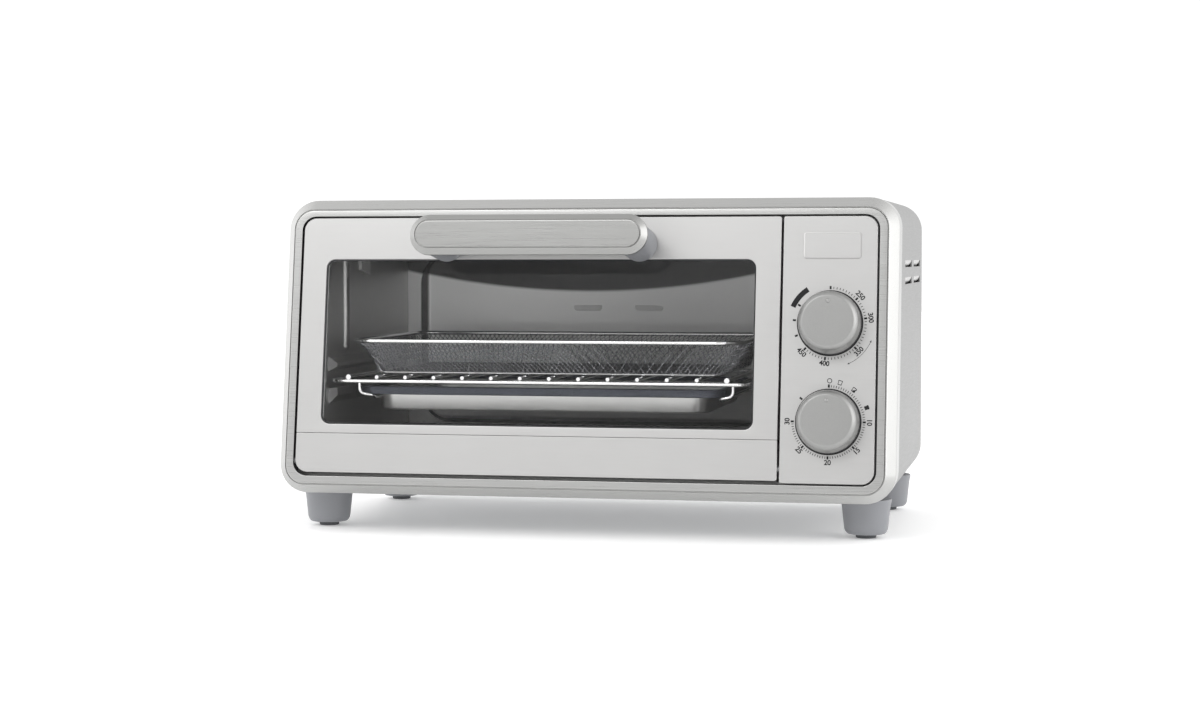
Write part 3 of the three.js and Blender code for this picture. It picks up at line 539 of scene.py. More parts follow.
def shell():
    shape = Shape(upright)
    stations = [None, *LOUVRE_Y[0], *LOUVRE_Y[1], HEM_START, BACK_Y]
    front = RIM_BACK + SHELL_GAP
    skins = []
    for offset in (0, SHEET):
        section = shell_section(offset)
        rows = []
        for k, y in enumerate(stations):
            row = []
            hemmed = k == len(stations) - 1 and not offset
            for (x, z), (ix, iz) in zip(section, shell_section(offset + HEM)):
                at = front + (z - FACE_Z) * math.tan(LEAN) if y is None else y
                row.append((ix, at, iz) if hemmed else (x, at, z))
            rows.append(shape.ring(row))
        skins.append(rows)
    outer, inner = skins
    count = len(outer[0])
    slots = slot_cells(shell_section(0))
    rows = range(len(stations) - 1)
    open_cells = {(k, i) for k in (1, 3) for i in slots}
    solid = [(k, i) for k in rows for i in range(count - 1) if (k, i) not in open_cells]
    edges = {}
    for k, i in solid:
        corners = [(k, i), (k, i + 1), (k + 1, i + 1), (k + 1, i)]
        shape.faces.append(tuple(outer[a][b] for a, b in corners))
        shape.faces.append(tuple(inner[a][b] for a, b in reversed(corners)))
        for a, b in zip(corners, corners[1:] + corners[:1]):
            key = tuple(sorted((a, b)))
            edges[key] = edges.get(key, 0) + 1
    for ((ka, ia), (kb, ib)), uses in edges.items():
        if uses == 1:
            shape.faces.append((outer[ka][ia], outer[kb][ib], inner[kb][ib], inner[ka][ia]))
    shape.make("case_shell", "chassis", "stainless_skin", SHELL, "outer_shell", smooth=28)


# Where the section crosses a slot, on either side of the case.
def slot_cells(section):
    cells = []
    for i, ((x0, z0), (x1, z1)) in enumerate(zip(section, section[1:])):
        middle = (z0 + z1) / 2
        if x0 == x1 and any(abs(middle - z) < 0.1 for z in LOUVRE_Z) and abs(z0 - z1) < 2.2 * LOUVRE_HALF:
            cells.append(i)
    return cells


BLADE_THICK = 0.8
BLADE_GAP = 0.2
BLADE_LAP = 0.4
BLADE_SLOPE = 0.4
BLADE_REACH = 2.6
BLADE_DROP = 4.6
BLADE_BEND = 1.8
BLADE_STEPS = 6
BLADE_OVERHANG = 0.6


# The section of a blade pressed inwards behind a slot, hanging from the slot's upper edge.
def blade_outline(side, z):
    outline = []
    for thick in (0, BLADE_THICK):
        curve = []
        for i in range(BLADE_STEPS + 1):
            k = i / BLADE_STEPS
            across = SHELL_HALF - BLADE_GAP - thick - BLADE_REACH * k ** BLADE_BEND
            curve.append((side * across, z + LOUVRE_HALF + BLADE_LAP - thick * BLADE_SLOPE - BLADE_DROP * k))
        outline += curve[::-1] if thick else curve
    return outline


def louvres():
    shape = Shape(endways)
    for side in (-1, 1):
        for y0, y1 in LOUVRE_Y:
            for z in LOUVRE_Z:
                shape.prism(blade_outline(side, z), y0 - BLADE_OVERHANG, y1 + BLADE_OVERHANG)
    shape.make("case_louvres", "chassis", "stainless_skin", SATIN)


def feet():
    for row, y in FOOT_Y.items():
        for side, x in (("left", -FOOT_X), ("right", FOOT_X)):
            name = f"{row}_{side}"
            foot = [
                (0, 2.7), (11.6, 2.7), (12.3, 2.85), (12.9, 3.3), (13.6, 4.1), (14.1, 5.1), (14.5, 6.4),
                (15.3, 14), (16.1, 21.4), (16.5, 23.4), (16.8, 24.2), (16.8, 25.6), (16.5, 25.9), (0, 25.9),
            ]
            Shape(upright).turned(x, y, foot, 48).make(
                f"case_foot_{name}", "chassis", "grey_plastic", GREY_PLASTIC, f"foot_{name}"
            )
            pad = [(0, 0), (6.3, 0), (6.7, 0.3), (6.8, 0.8), (6.8, 2.3), (0, 2.3)]
            Shape(upright).turned(x, y, pad, 40).make(
                f"rubber_pad_{name}", "chassis", "pad_rubber", RUBBER, f"foot_pad_{name}"
            )


# ---- Door ----

def door_skin(name, box, corners, node, hole=None):
    front = [(0.06, -0.22), (0.22, -0.06), (0.5, 0)]
    outer = insets(box, corners, [(SHEET, FLANGE_N), (0, FLANGE_N), (0, -5), (0, -0.8), *front], 8)
    shape = Shape(on_face)
    if hole:
        inner = insets(hole, WINDOW_CORNER, [(-0.6, 0), (-0.15, -0.15), (0, -0.55), (0, -SHEET)], 8)
        shape.loft(outer + inner + insets(box, corners, [(SHEET + 0.1, -SHEET)], 8), looped=True)
    else:
        shape.loft(outer)
        shape.faces.pop(0)
        back = insets(box, corners, [(SHEET, FLANGE_N), (SHEET, -SHEET)], 8)
        made = [shape.ring(r) for r in back]
        shape.bridge(made[0], made[1])
        shape.faces.append(tuple(made[1]))
    shape.make(name, "door", "stainless_skin", SATIN, node, smooth=28)


def door():
    frame_box = (DOOR_LEFT, FOLD_S + SEAM, DOOR_RIGHT, DOOR_HIGH)
    door_skin("door_skin", frame_box, (0.5, 0.5, 1.4, DOOR_CORNER), "door_frame", WINDOW)
    lower_box = (DOOR_LEFT, DOOR_LOW, DOOR_RIGHT, FOLD_S - SEAM)
    door_skin("door_lower_skin", lower_box, (DOOR_CORNER, 1.4, 0.5, 0.5), "door_lower_panel")
    edge = 0.3
    pane = insets(
        GLASS, 4, [(edge, GLASS_BACK), (0, GLASS_BACK + edge), (0, GLASS_FRONT - edge), (edge, GLASS_FRONT)]
    )
    Shape(on_face).loft(pane).make("door_pane", "door", "door_glass", GLASS_FINISH, "door_glass")
    gasket = insets(
        WINDOW, WINDOW_CORNER, [(0.9, -1.05), (0.9, -1.35), (-1.5, -1.35), (-1.5, -1.05)], 8
    )
    Shape(on_face).loft(gasket, looped=True).make("window_gasket", "door", "black_plastic", BLACK_PLASTIC)


def handle():
    left, right = HANDLE_X
    box = (left - HANDLE_HALF, HANDLE_S - HANDLE_HALF, right + HANDLE_HALF, HANDLE_S + HANDLE_HALF)
    back, front = HANDLE_BACK, HANDLE_FRONT
    profile = [
        (1.2, back), (0.35, back + 0.1), (0, back + 0.5), (0, back + 1.7),
        (0.12, back + 2.1), (0.4, back + 2.4),
        (3.6, front - 0.5), (3.9, front - 0.4), (4.0, front - 1.1), (4.5, front - 1.1), (4.65, front - 0.1),
        (5.1, front),
    ]
    Shape(on_face).loft(insets(box, HANDLE_HALF, profile, 18)).make(
        "door_handle", "door", "brushed_steel", SHADED_HANDLE_STEEL, "handle_bar", smooth=24
    )
    for side, x in zip(("left", "right"), HANDLE_X):
        post = [
            (0, 0.4), (POST_RADIUS - 0.3, 0.4), (POST_RADIUS, 0.7), (POST_RADIUS, 20), (POST_RADIUS, 41),
            (POST_RADIUS - 0.3, 41.4), (0, 41.4),
        ]
        Shape(on_face).turned(x, HANDLE_S, post, 72).make(
            f"handle_stand_{side}", "door", "grey_plastic", GREY_PLASTIC, f"handle_post_{side}"
        )


# ---- Controls ----

KNOB_PROFILE = [
    (0, 2.2), (19.9, 2.2), (20.25, 2.4), (20.4, 2.9), (20.2, 6), (19.9, 9), (19.6, 11),
    (19.35, 12.2), (19.0, 13.1),
    (18.4, 14.0), (17.8, 14.6), (17.3, 15.0), (16.9, 15.3), (16.5, 15.5), (16.0, 15.6), (8, 15.6), (0, 15.6),
]
# A black band under each knob's grip, filling the gap to the panel: painted shade for the dark gap and the
# shadow under the knob.
SHADE_BAND_PROFILE = [(0, 0.75), (20.5, 0.75), (20.8, 0.95), (20.8, 1.7), (20.6, 2.1), (0, 2.1)]
POINTER_S = 12.8
POINTER_PROFILE = [
    (0, 15.3), (1.4, 15.3), (1.38, 15.65), (1.2, 15.95), (0.85, 16.15), (0.4, 16.27), (0, 16.3),
]


def dials():
    for name, s in (("temperature", TEMPERATURE_S), ("timer", TIMER_S)):
        body = f"{name}_dial"
        Shape(on_face).turned(DIAL_X, s, KNOB_PROFILE, 96).make(
            f"{name}_grip", body, "knob_metal", KNOB_METAL, f"{name}_knob"
        )
        # The black band under the grip: painted shade.
        Shape(on_face).turned(DIAL_X, s, SHADE_BAND_PROFILE, 96).make(
            f"{name}_shade_band", body, "black_plastic", BLACK_PLASTIC
        )
        Shape(on_face).turned(DIAL_X, s + POINTER_S, POINTER_PROFILE, 24).make(
            f"{name}_pointer", body, "knob_metal", KNOB_METAL
        )


FASCIA_PROFILE = [(SHEET, -3), (0, -3), (0, -0.8), (0.1, -0.38), (0.38, -0.1), (0.8, 0)]
PLATE_CORNER = 2.2
PLATE_PROFILE = [(0, 0.02), (0, 0.4), (0.12, 0.58), (0.4, 0.66), (0.7, 0.66), (0.9, 0.5), (1.2, 0.5)]
SEAL = (134, 0.6, 197, 175)
SEAL_CORNER = 8
SEAL_PROFILE = [(0, -4.4), (0, -3.5), (5, -3.5), (5, -4.4)]


def fascia():
    Shape(on_face).loft(insets(FASCIA, FASCIA_CORNERS, FASCIA_PROFILE, 8)).make(
        "control_panel", "chassis", "stainless_skin", SATIN, "control_fascia", smooth=28
    )
    plate = insets(BLANK_PLATE, PLATE_CORNER, PLATE_PROFILE, 8)
    Shape(on_face).loft(plate).make("blank_plate", "chassis", "stainless_skin", SATIN)
    seal = insets(SEAL, SEAL_CORNER, SEAL_PROFILE, 8)
    Shape(on_face).loft(seal, looped=True).make("panel_seal", "chassis", "black_plastic", BLACK_PLASTIC)


INK_LOW, INK_HIGH = 0.005, 0.05
TICK_RADIUS = 23.2
NUMBER_RADIUS = 26.4
TEMPERATURE_MARKS = {
    0: "", 47: "250", 82: "300", 134: "350", 187: "400", 223.5: "450", 249: "", 274.5: "", 300: "",
}
TIMER_MARKS = {0: "", 90: "10", 135: "15", 180: "20", 225: "25", 270: "30", 310: ""}


# A drawn shape turned clockwise about a dial, from twelve o'clock.
def round_dial(points, centre_s, angle, radius, turn=None):
    a = -math.radians(angle)
    own = a if turn is None else -math.radians(turn)
    cx, cy = -math.sin(a) * radius, math.cos(a) * radius
    cos, sin = math.cos(own), math.sin(own)
    return [(DIAL_X + cx + x * cos - y * sin, centre_s + cy + x * sin + y * cos) for x, y in points]


def tick(width, length):
    x, y = width / 2, length / 2
    return [(-x, -y), (x, -y), (x, y), (-x, y)]


def band(inner, outer, start, end, steps=24):
    angles = [math.radians(start + (end - start) * i / steps) for i in range(steps + 1)]
    far = [(outer * math.sin(a), outer * math.cos(a)) for a in angles]
    near = [(inner * math.sin(a), inner * math.cos(a)) for a in reversed(angles)]
    return far + near


def dial_scale(shape, centre_s, marks, fine_end, fine_step):
    stops = list(marks)
    for angle in stops:
        shape.prism(round_dial(tick(1.25, 2.1), centre_s, angle, TICK_RADIUS), INK_LOW, INK_HIGH)
    for start, end in zip(stops, stops[1:]):
        count = round((end - start) / fine_step) if end <= fine_end else 1
        for i in range(1, count):
            angle = start + (end - start) * i / count
            shape.prism(round_dial(tick(0.42, 1.5), centre_s, angle, TICK_RADIUS - 0.1), INK_LOW, INK_HIGH)


# The outline of a slice of bread.
def slice_outline(size):
    return [(x * size, y * size) for x, y in [
        (-0.8, -1), (0.8, -1), (0.86, -0.94), (0.84, 0.2), (1.0, 0.45), (0.96, 0.8), (0.7, 1.0), (-0.7, 1.0),
        (-0.96, 0.8), (-1.0, 0.45), (-0.84, 0.2), (-0.86, -0.94)]]


def ink_ring(shape, outer, inner):
    rings = []
    for outline, height in ((outer, INK_LOW), (outer, INK_HIGH), (inner, INK_HIGH), (inner, INK_LOW)):
        rings.append([(x, y, height) for x, y in outline])
    shape.loft(rings, looped=True)


# Radii, then start and end angles, of the curved patch and of the arc with a head at each end.
PATCH = (24.7, 28.1, 293.5, 326.5)
ARC = (28.9, 29.15, 114, 154.5)
ARROW_RADIUS = 29.02
# Radii of a dark ring on the panel round the foot of each knob: it stands for the gap round the knob, and is
# painted shade for the shadow under it.
KNOB_GAP_SHADE_RING = (21.5, 18)
SYMBOL_RADIUS = 26.4
RUN_ANGLE, RUN_RADIUS, RUN_RING = 1, 26.6, (1.65, 1.2)
LIGHT_ANGLE, HALF_ANGLE, DARK_ANGLE = 16, 38, 69
SLICE_SIZES = (1.55, 1.1)
DARK_SIZE = 1.5


def around(points, centre_s):
    return [(DIAL_X + x, centre_s + y) for x, y in points]


def dial_print_and_knob_shade():
    shape = Shape(on_face)
    dial_scale(shape, TEMPERATURE_S, TEMPERATURE_MARKS, 223.5, 5.3)
    dial_scale(shape, TIMER_S, TIMER_MARKS, 270, 4.0)
    for sweep in (PATCH, ARC):
        shape.prism(around(band(*sweep), TEMPERATURE_S), INK_LOW, INK_HIGH)
    for angle, way in ((ARC[2], 1), (ARC[3], -1)):
        head = [(0, 0), (way * 1.5, 0.55), (way * 1.5, -0.55)]
        if way < 0:
            head.reverse()
        shape.prism(round_dial(head, TEMPERATURE_S, angle - way * 2, ARROW_RADIUS), INK_LOW, INK_HIGH)
    # The dark ring round each knob: painted shade, printed in ink with the scales.
    for s in (TEMPERATURE_S, TIMER_S):
        ink_ring(shape, *(circle(DIAL_X, s, radius, 72) for radius in KNOB_GAP_SHADE_RING))
    ink_ring(shape, *(round_dial(circle(0, 0, r, 28), TIMER_S, RUN_ANGLE, RUN_RADIUS) for r in RUN_RING))
    for angle in (LIGHT_ANGLE, HALF_ANGLE):
        outlines = [round_dial(slice_outline(size), TIMER_S, angle, SYMBOL_RADIUS) for size in SLICE_SIZES]
        ink_ring(shape, *outlines)
    half = [(-1.15, -1.35), (1.15, -1.35), (1.15, 0.9)]
    shape.prism(round_dial(half, TIMER_S, HALF_ANGLE, SYMBOL_RADIUS), INK_LOW, INK_HIGH)
    shape.prism(round_dial(slice_outline(DARK_SIZE), TIMER_S, DARK_ANGLE, SYMBOL_RADIUS), INK_LOW, INK_HIGH)
    shape.make("dial_print_and_knob_shade", "chassis", "black_plastic", INK)
    numbers()


FIGURE_SIZE = 4.6
FIGURE_SPACING = 0.96
FIGURE_THICK = 0.02
FIGURE_BOLD = 0.12
FIGURE_LIFT = 0.025


# The figures beside the bold ticks. Those in the upper half stand on the dial, the lower ones hang under it.
def numbers():
    parts = []
    for centre_s, marks in ((TEMPERATURE_S, TEMPERATURE_MARKS), (TIMER_S, TIMER_MARKS)):
        for angle, text in marks.items():
            if not text:
                continue
            curve = bpy.data.curves.new("figure", "FONT")
            curve.body = text
            curve.size = FIGURE_SIZE
            curve.space_character = FIGURE_SPACING
            curve.align_x = "CENTER"
            curve.align_y = "CENTER"
            curve.extrude = FIGURE_THICK
            curve.offset = FIGURE_BOLD
            curve.resolution_u = 3
            holder = bpy.data.objects.new("figure", curve)
            bpy.context.scene.collection.objects.link(holder)
            bpy.context.view_layer.update()
            graph = bpy.context.evaluated_depsgraph_get()
            mesh = bpy.data.meshes.new_from_object(holder.evaluated_get(graph))
            turn = angle if angle <= 90 or angle >= 270 else angle - 180
            flat = [(v.co.x, v.co.y) for v in mesh.vertices]
            moved = round_dial(flat, centre_s, angle, NUMBER_RADIUS, turn)
            for v, (x, s) in zip(mesh.vertices, moved):
                v.co = on_face(x, s, INK_LOW + FIGURE_LIFT + v.co.z)
            parts.append(mesh)
            bpy.data.objects.remove(holder)
            bpy.data.curves.remove(curve)
    joined = bmesh.new()
    for mesh in parts:
        joined.from_mesh(mesh)
        bpy.data.meshes.remove(mesh)
    bmesh.ops.remove_doubles(joined, verts=joined.verts, dist=1e-7)
    bmesh.ops.recalc_face_normals(joined, faces=joined.faces)
    mesh = bpy.data.meshes.new("dial_figures")
    joined.to_mesh(mesh)
    joined.free()
    piece = bpy.data.objects.new("dial_figures", mesh)
    bpy.context.scene.collection.objects.link(piece)
    mesh.materials.clear()
    mesh.materials.append(INK)
    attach(piece, "chassis")


# ---- Inside ----

RIBS = ((106.5, 110, 112, 116.6), (84, 90, 95, 94.5))
RIB_REACH = 6.3
BEAD_Y, BEAD_HALF, BEAD_REACH = 83, 5, 3
RIB_START = 45
# How far in from the recess's edge, and how much of the way back.
RECESS_STEP = (
    (-0.8, 0), (-0.3, 0.02), (0.2, 0.08), (0.5, 0.2), (2.3, 0.84), (2.8, 0.94), (3.5, 0.99), (4.4, 1),
    (9, 1), (16, 1), (26, 1), (38, 1), (50, 1), (60, 1),
)


def recess_y(x):
    k = (x - RECESS[0]) / (RECESS[2] - RECESS[0])
    return RECESS_EDGE + 4 * RECESS_SAG * k * (1 - k)


# The back wall of the cavity, with its drawn recess that bellies backwards.
def cavity_back():
    plate = (CAVITY_LEFT - SHEET, CAVITY_LOW, CAVITY_RIGHT + SHEET, CAVITY_HIGH)
    along, steps = 16, 8
    skins = []
    for behind in (0, SHEET):
        rings = [[(x, CAVITY_BACK + behind, z) for x, z in rounded(plate, 0.3, steps, along)]]
        for inset, share in RECESS_STEP:
            corner = smaller(RECESS_CORNER - 9 * share, max(inset, 0) * 0.5)
            outline = rounded(shrunk(RECESS, inset), corner, steps, along)
            rings.append([
                (x, CAVITY_BACK + behind + (recess_y(x) - CAVITY_BACK) * share, z) for x, z in outline
            ])
        skins.append(rings)
    shape = Shape(upright)
    shape.loft(skins[0][::-1] + skins[1])
    shape.make("cavity_back_skin", "chassis", "cavity_liner", LIT_BACK_LINER, "cavity_back_wall", smooth=50)


SCOOP_X = (-47, 1)
SCOOP_Z = 146
SCOOP_HALF_WIDTH, SCOOP_HALF_HEIGHT = 11, 2.2
SCOOP_TAPER = 2.6
SCOOP_OUTLINE = [
    (-11, 2.2), (11, 2.2), (11, 0.4), (10.4, -1.1), (9, -2.2), (-9, -2.2), (-10.4, -1.1), (-11, 0.4),
]
# How far behind the wall each ring stands, how far its foot leans out, and how far it is drawn in.
SCOOP_RINGS = ((0.3, 0, 0), (-0.1, 0.2, 0.05), (-0.3, 0.45, 0.35))


# Two small slots pressed in the recess of the back wall.
def scoops():
    shape = Shape(endways)
    for x in SCOOP_X:
        wall = recess_y(x)
        rings = []
        for behind, lean, edge in SCOOP_RINGS:
            wide, tall = 1 - edge / SCOOP_HALF_WIDTH, 1 - edge / SCOOP_TAPER
            rings.append([
                (
                    x + px * wide,
                    SCOOP_Z + pz * tall,
                    wall + behind - lean * (SCOOP_HALF_HEIGHT - pz) / (2 * SCOOP_HALF_HEIGHT),
                )
                for px, pz in SCOOP_OUTLINE
            ])
        shape.loft(rings)
    shape.make("cavity_scoops", "chassis", "cavity_liner", LIT_BACK_LINER)


BEAD_STEPS = 12
BEAD_ROOT = 0.2
# The foot's share of the bead's reach and of its width, and the height of each.
BEAD_FOOT = ((0.15, 0.3, 119.2), (0.7, 0.8, 120.6))
BEAD_HEIGHTS = (122.6, 160, CAVITY_HIGH - 0.4)


# An upright bead on the left wall of the cavity.
def wall_bead():
    wall = CAVITY_LEFT
    outline = []
    for i in range(BEAD_STEPS + 1):
        a = math.pi * (i / BEAD_STEPS - 0.5)
        outline.append((wall + BEAD_REACH * math.cos(a), BEAD_Y + BEAD_HALF * math.sin(a)))
    outline += [(wall - BEAD_ROOT, BEAD_Y + BEAD_HALF), (wall - BEAD_ROOT, BEAD_Y - BEAD_HALF)]
    rings = []
    for reach, width, z in BEAD_FOOT:
        rings.append([(wall + (x - wall) * reach, BEAD_Y + (y - BEAD_Y) * width, z) for x, y in outline])
    rings += [[(x, y, z) for x, y in outline] for z in BEAD_HEIGHTS]
    Shape(upright).loft(rings).make("wall_bead", "chassis", "stainless_skin", SATIN)


RIB_END = (RIB_START - 0.7, RIB_START - 0.1)


# Front ends on the ribs that carry the rack, on both side walls, faced in the satin metal, lighter than the
# liner: real rib ends, with a painted highlight in their lighter metal.
def rib_ends():
    shape = Shape(endways)
    for low, tip_low, tip_high, high in RIBS:
        for x, way in ((CAVITY_LEFT, 1), (CAVITY_RIGHT, -1)):
            tip = x + way * RIB_REACH
            shape.prism([(x, low), (tip, tip_low), (tip, tip_high), (x, high)], *RIB_END)
    shape.make("rib_ends", "chassis", "cavity_liner", SATIN)


GLINT_X = WINDOW[0] + 1.3
GLINT_S = (142, 90, 39)
GLINT_N = -1.25
GLINT_RADIUS = 0.16


# A painted highlight: a fine bright wire along the left edge of the pane stands in for the glint on the
# glass's edge.
def painted_glass_glint():
    shape = Shape(on_face)
    shape.wire([(GLINT_X, s, GLINT_N) for s in GLINT_S], GLINT_RADIUS, 6)
    shape.make("painted_glass_glint", "door", "door_glass", CHROME)


GUARD_OUTLINE = [(112, 176.2), (133, 172.6), (133, 199), (112, 199)]
GUARD_X = (CAVITY_LEFT - 0.1, CAVITY_LEFT + 2.2)


# The guard of a heater's end, on the left wall of the cavity.
def heater_guard():
    shape = Shape(sideways)
    shape.prism(GUARD_OUTLINE, *GUARD_X)
    shape.make("heater_guard", "chassis", "stainless_skin", CERAMIC)


TUBE_X = (-191.5, -30, 123.5)
TERMINAL_X = ((-199, -191.4), (123.4, 131))
TERMINAL_RADIUS = 1.5


def heaters():
    for low_high, z in HEATER_Z.items():
        for row, y in HEATER_Y.items():
            shape = Shape(upright)
            shape.wire([(x, y, z) for x in TUBE_X], HEATER_RADIUS, 24)
            for x0, x1 in TERMINAL_X:
                shape.wire([(x0, y, z), (x1, y, z)], TERMINAL_RADIUS, 12)
            shape.make(
                f"heating_tube_{low_high}_{row}", "chassis", "heater_sheath", SHEATH,
                f"heater_{low_high}_{row}",
            )


# ---- Rack, basket and pan ----

RACK_CORNER = 7
FRAME_WIRE, ROD_WIRE, END_ROD_WIRE, HANGER_WIRE = 1.5, 1.3, 1.75, 1.15
MIDDLE_Y = 120
HANGER_REACH = 9
HANGER_BEND = 4
HANGER_KNEE, HANGER_TURN, HANGER_FLOOR = 92.6, 91.2, 89.4


def wire_loop(box, z, corner):
    return [(x, y, z) for x, y in rounded(box, corner, 8)]


def rack():
    shape = Shape(upright)
    shape.wire(wire_loop(RACK, RACK_Z, RACK_CORNER), FRAME_WIRE, 16, looped=True)
    front, back = RACK[1], RACK[3]
    for i in range(RODS):
        x = ROD_X[0] + (ROD_X[1] - ROD_X[0]) * i / (RODS - 1)
        radius = END_ROD_WIRE if i in (0, RODS - 1) else ROD_WIRE
        shape.wire([(x, front - 1, ROD_Z), (x, MIDDLE_Y, ROD_Z), (x, back + 1, ROD_Z)], radius, 16)
    for x, inward in ((PAN[0] + 5.2, 1), (PAN[2] + 7, -1)):
        under = x + inward * HANGER_REACH
        hanger = [
            (x, front, RACK_Z), (x, front, HANGER_KNEE), (under, front + 1, HANGER_TURN),
            (under, front + 8, HANGER_FLOOR), (under, MIDDLE_Y, HANGER_FLOOR), (under, back, HANGER_FLOOR),
            (under, back, RACK_Z),
        ]
        shape.wire(filleted(hanger, HANGER_BEND), HANGER_WIRE, 12)
    shape.make("rack_wires", "rack", "chrome_wire", CHROME, "wire_rack", smooth=50)


WEAVE_COLUMNS = 236
WEAVE_TURNS = 5
WEAVE_LIFT = 0.3
WEAVE_RADIUS = 0.26
WEAVE_INSET = 1.6
WEAVE_PITCH = 4.0
FLOOR_MARGIN = 2.6
SHORTEST_SHARE = 0.02
WALL_CURVE = 1.6
BASKET_RIM_WIRE, BASKET_BASE_WIRE = 1.5, 0.7
BASKET_FOOT_CORNER = BASKET_CORNER - 8


# A point of the basket's side: along its outline, and down from its rim.
def basket_side(share, drop, proud, outlines):
    top, low = outlines
    place = share % 1.0 * len(top)
    i = int(place) % len(top)
    j = (i + 1) % len(top)
    k = place - int(place)
    a = Vector(top[i]).lerp(Vector(top[j]), k)
    b = Vector(low[i]).lerp(Vector(low[j]), k)
    flat = a.lerp(b, 1 - (1 - drop) ** WALL_CURVE)
    along = (Vector(top[j]) - Vector(top[i])).normalized()
    outward = Vector((along.y, -along.x))
    flat += outward * proud
    return (flat.x, flat.y, BASKET_HIGH - 1 + (BASKET_LOW + 1 - BASKET_HIGH + 1) * drop)


# The same number of points all along a closed outline, at equal steps.
def even(outline, count):
    points = [Vector(p) for p in outline]
    lengths = [(points[(i + 1) % len(points)] - p).length for i, p in enumerate(points)]
    total, placed, i, start = sum(lengths), [], 0, 0.0
    for n in range(count):
        want = total * n / count
        while start + lengths[i] < want:
            start += lengths[i]
            i += 1
        k = (want - start) / lengths[i] if lengths[i] else 0
        placed.append(points[i].lerp(points[(i + 1) % len(points)], k))
    return placed


def basket():
    mesh = Shape(upright)
    count = WEAVE_COLUMNS * 2
    base = shrunk(BASKET, WEAVE_INSET + BASKET_FLARE)
    top = even(rounded(shrunk(BASKET, WEAVE_INSET), BASKET_CORNER - WEAVE_INSET, 10), count)
    low = even(rounded(base, BASKET_FOOT_CORNER, 10), count)
    outlines = (top, low)
    steps = WEAVE_TURNS * 2
    for way in (-1, 1):
        for column in range(WEAVE_COLUMNS):
            path = []
            for i in range(steps + 1):
                share = (column + way * WEAVE_TURNS * (i / steps - 0.5) + 0.25) / WEAVE_COLUMNS
                over = way if (i + column) % 2 else -way
                path.append(basket_side(share, i / steps, over * WEAVE_LIFT, outlines))
            mesh.wire(path, WEAVE_RADIUS, 4)
    floor_weave(mesh)
    mesh.make("basket_weave", "basket", "chrome_wire", WOVEN, "mesh_basket", smooth=80)
    rim = Shape(upright)
    inset = BASKET_RIM_WIRE
    upper = wire_loop(shrunk(BASKET, inset), BASKET_HIGH - 1, BASKET_CORNER - inset)
    rim.wire(upper, BASKET_RIM_WIRE, 20, looped=True)
    rim.wire(wire_loop(base, BASKET_LOW + 1, BASKET_FOOT_CORNER), BASKET_BASE_WIRE, 10, looped=True)
    rim.make("basket_rims", "basket", "chrome_wire", CHROME)


# Two layers of wires across the basket's floor, at 45 degrees.
def floor_weave(mesh):
    x0, y0, x1, y1 = shrunk(BASKET, FLOOR_MARGIN + BASKET_FLARE)
    depth = y1 - y0
    for to_right, z in ((True, BASKET_LOW + 0.75), (False, BASKET_LOW + 1.25)):
        offset = -depth
        while offset < (x1 - x0) + depth:
            left, right = x0 + offset, x0 + offset + depth
            start, end = (left, right) if to_right else (right, left)
            clipped = clip_line((start, y0), (end, y1), x0, x1)
            if clipped:
                mesh.wire([(x, y, z) for x, y in clipped], WEAVE_RADIUS, 4)
            offset += WEAVE_PITCH


# The part of a slanting line between two values of X, or nothing where too little is left.
def clip_line(a, b, low, high):
    (ax, ay), (bx, by) = a, b
    near, far = sorted(((low - ax) / (bx - ax), (high - ax) / (bx - ax)))
    start, end = max(0, near), min(1, far)
    if end - start < SHORTEST_SHARE:
        return None
    return [(ax + (bx - ax) * k, ay + (by - ay) * k) for k in (start, end)]


def pan():
    side, wall = 11.5, 0.9
    flange = PAN_LOW + 13
    body = [
        (side + 4, PAN_LOW), (side + 2.2, PAN_LOW + 0.3), (side + 1.3, PAN_LOW + 1.4), (side, flange - 0.8),
        (side - 0.8, flange), (5.2, flange), (5.2, flange + wall), (side - 0.2, flange + wall),
        (side + wall, flange - 0.8), (side + wall + 1.2, PAN_LOW + 2), (side + 4.4, PAN_LOW + wall),
    ]
    rings = [
        [(x, y, z) for x, y in rounded(shrunk(PAN, inset), 13 - max(inset - side, 0) * 0.5, 12)]
        for inset, z in body
    ]
    Shape(upright).loft(rings).make(
        "pan_body", "rack", "pan_steel", PAN_STEEL, "bake_pan"
    )
    # The rim takes the dark finish: painted shade on the pan's steel.
    rim = [
        (0.5, PAN_HIGH - 5.5), (0, PAN_HIGH - 5), (0, PAN_HIGH - 0.8), (0.3, PAN_HIGH - 0.2), (0.9, PAN_HIGH),
        (4.2, PAN_HIGH), (4.8, PAN_HIGH - 0.2), (5.1, PAN_HIGH - 0.8), (5.1, PAN_HIGH - 5.5),
    ]
    Shape(upright).loft(insets(PAN, TRAY_CORNER, rim, 12), looped=True).make(
        "pan_rim", "rack", "pan_steel", PAN_RIM_SHADE
    )


# ---- CAD nodes that stay, with their finishes ----

KEPT = {
    LINER: ["inner_frame", "cavity_left_wall", "cavity_right_wall", "cavity_ceiling", "cavity_floor",
            "fan_grille", "door_inner_frame"],
    ZINC: ["bottom_plate", "rear_screw_lower_left", "rear_screw_lower_right", "rear_screw_upper_left",
           "rear_screw_upper_right", "heater_support_left", "heater_support_right", "fan_blade",
           "handle_screw_left", "handle_screw_right", "hinge_pin_left", "hinge_pin_right",
           "hinge_bracket_left", "hinge_bracket_right", "hinge_spring_left", "hinge_spring_right",
           "control_bracket", "timer_body", "temperature_shaft", "timer_shaft"],
    SHELL: ["rear_panel", "crumb_tray"],
    CHROME: ["timer_bell"],
    SHEATH: ["fan_motor"],
    BLACK_PLASTIC: ["cord_gland", "thermostat_body"],
}


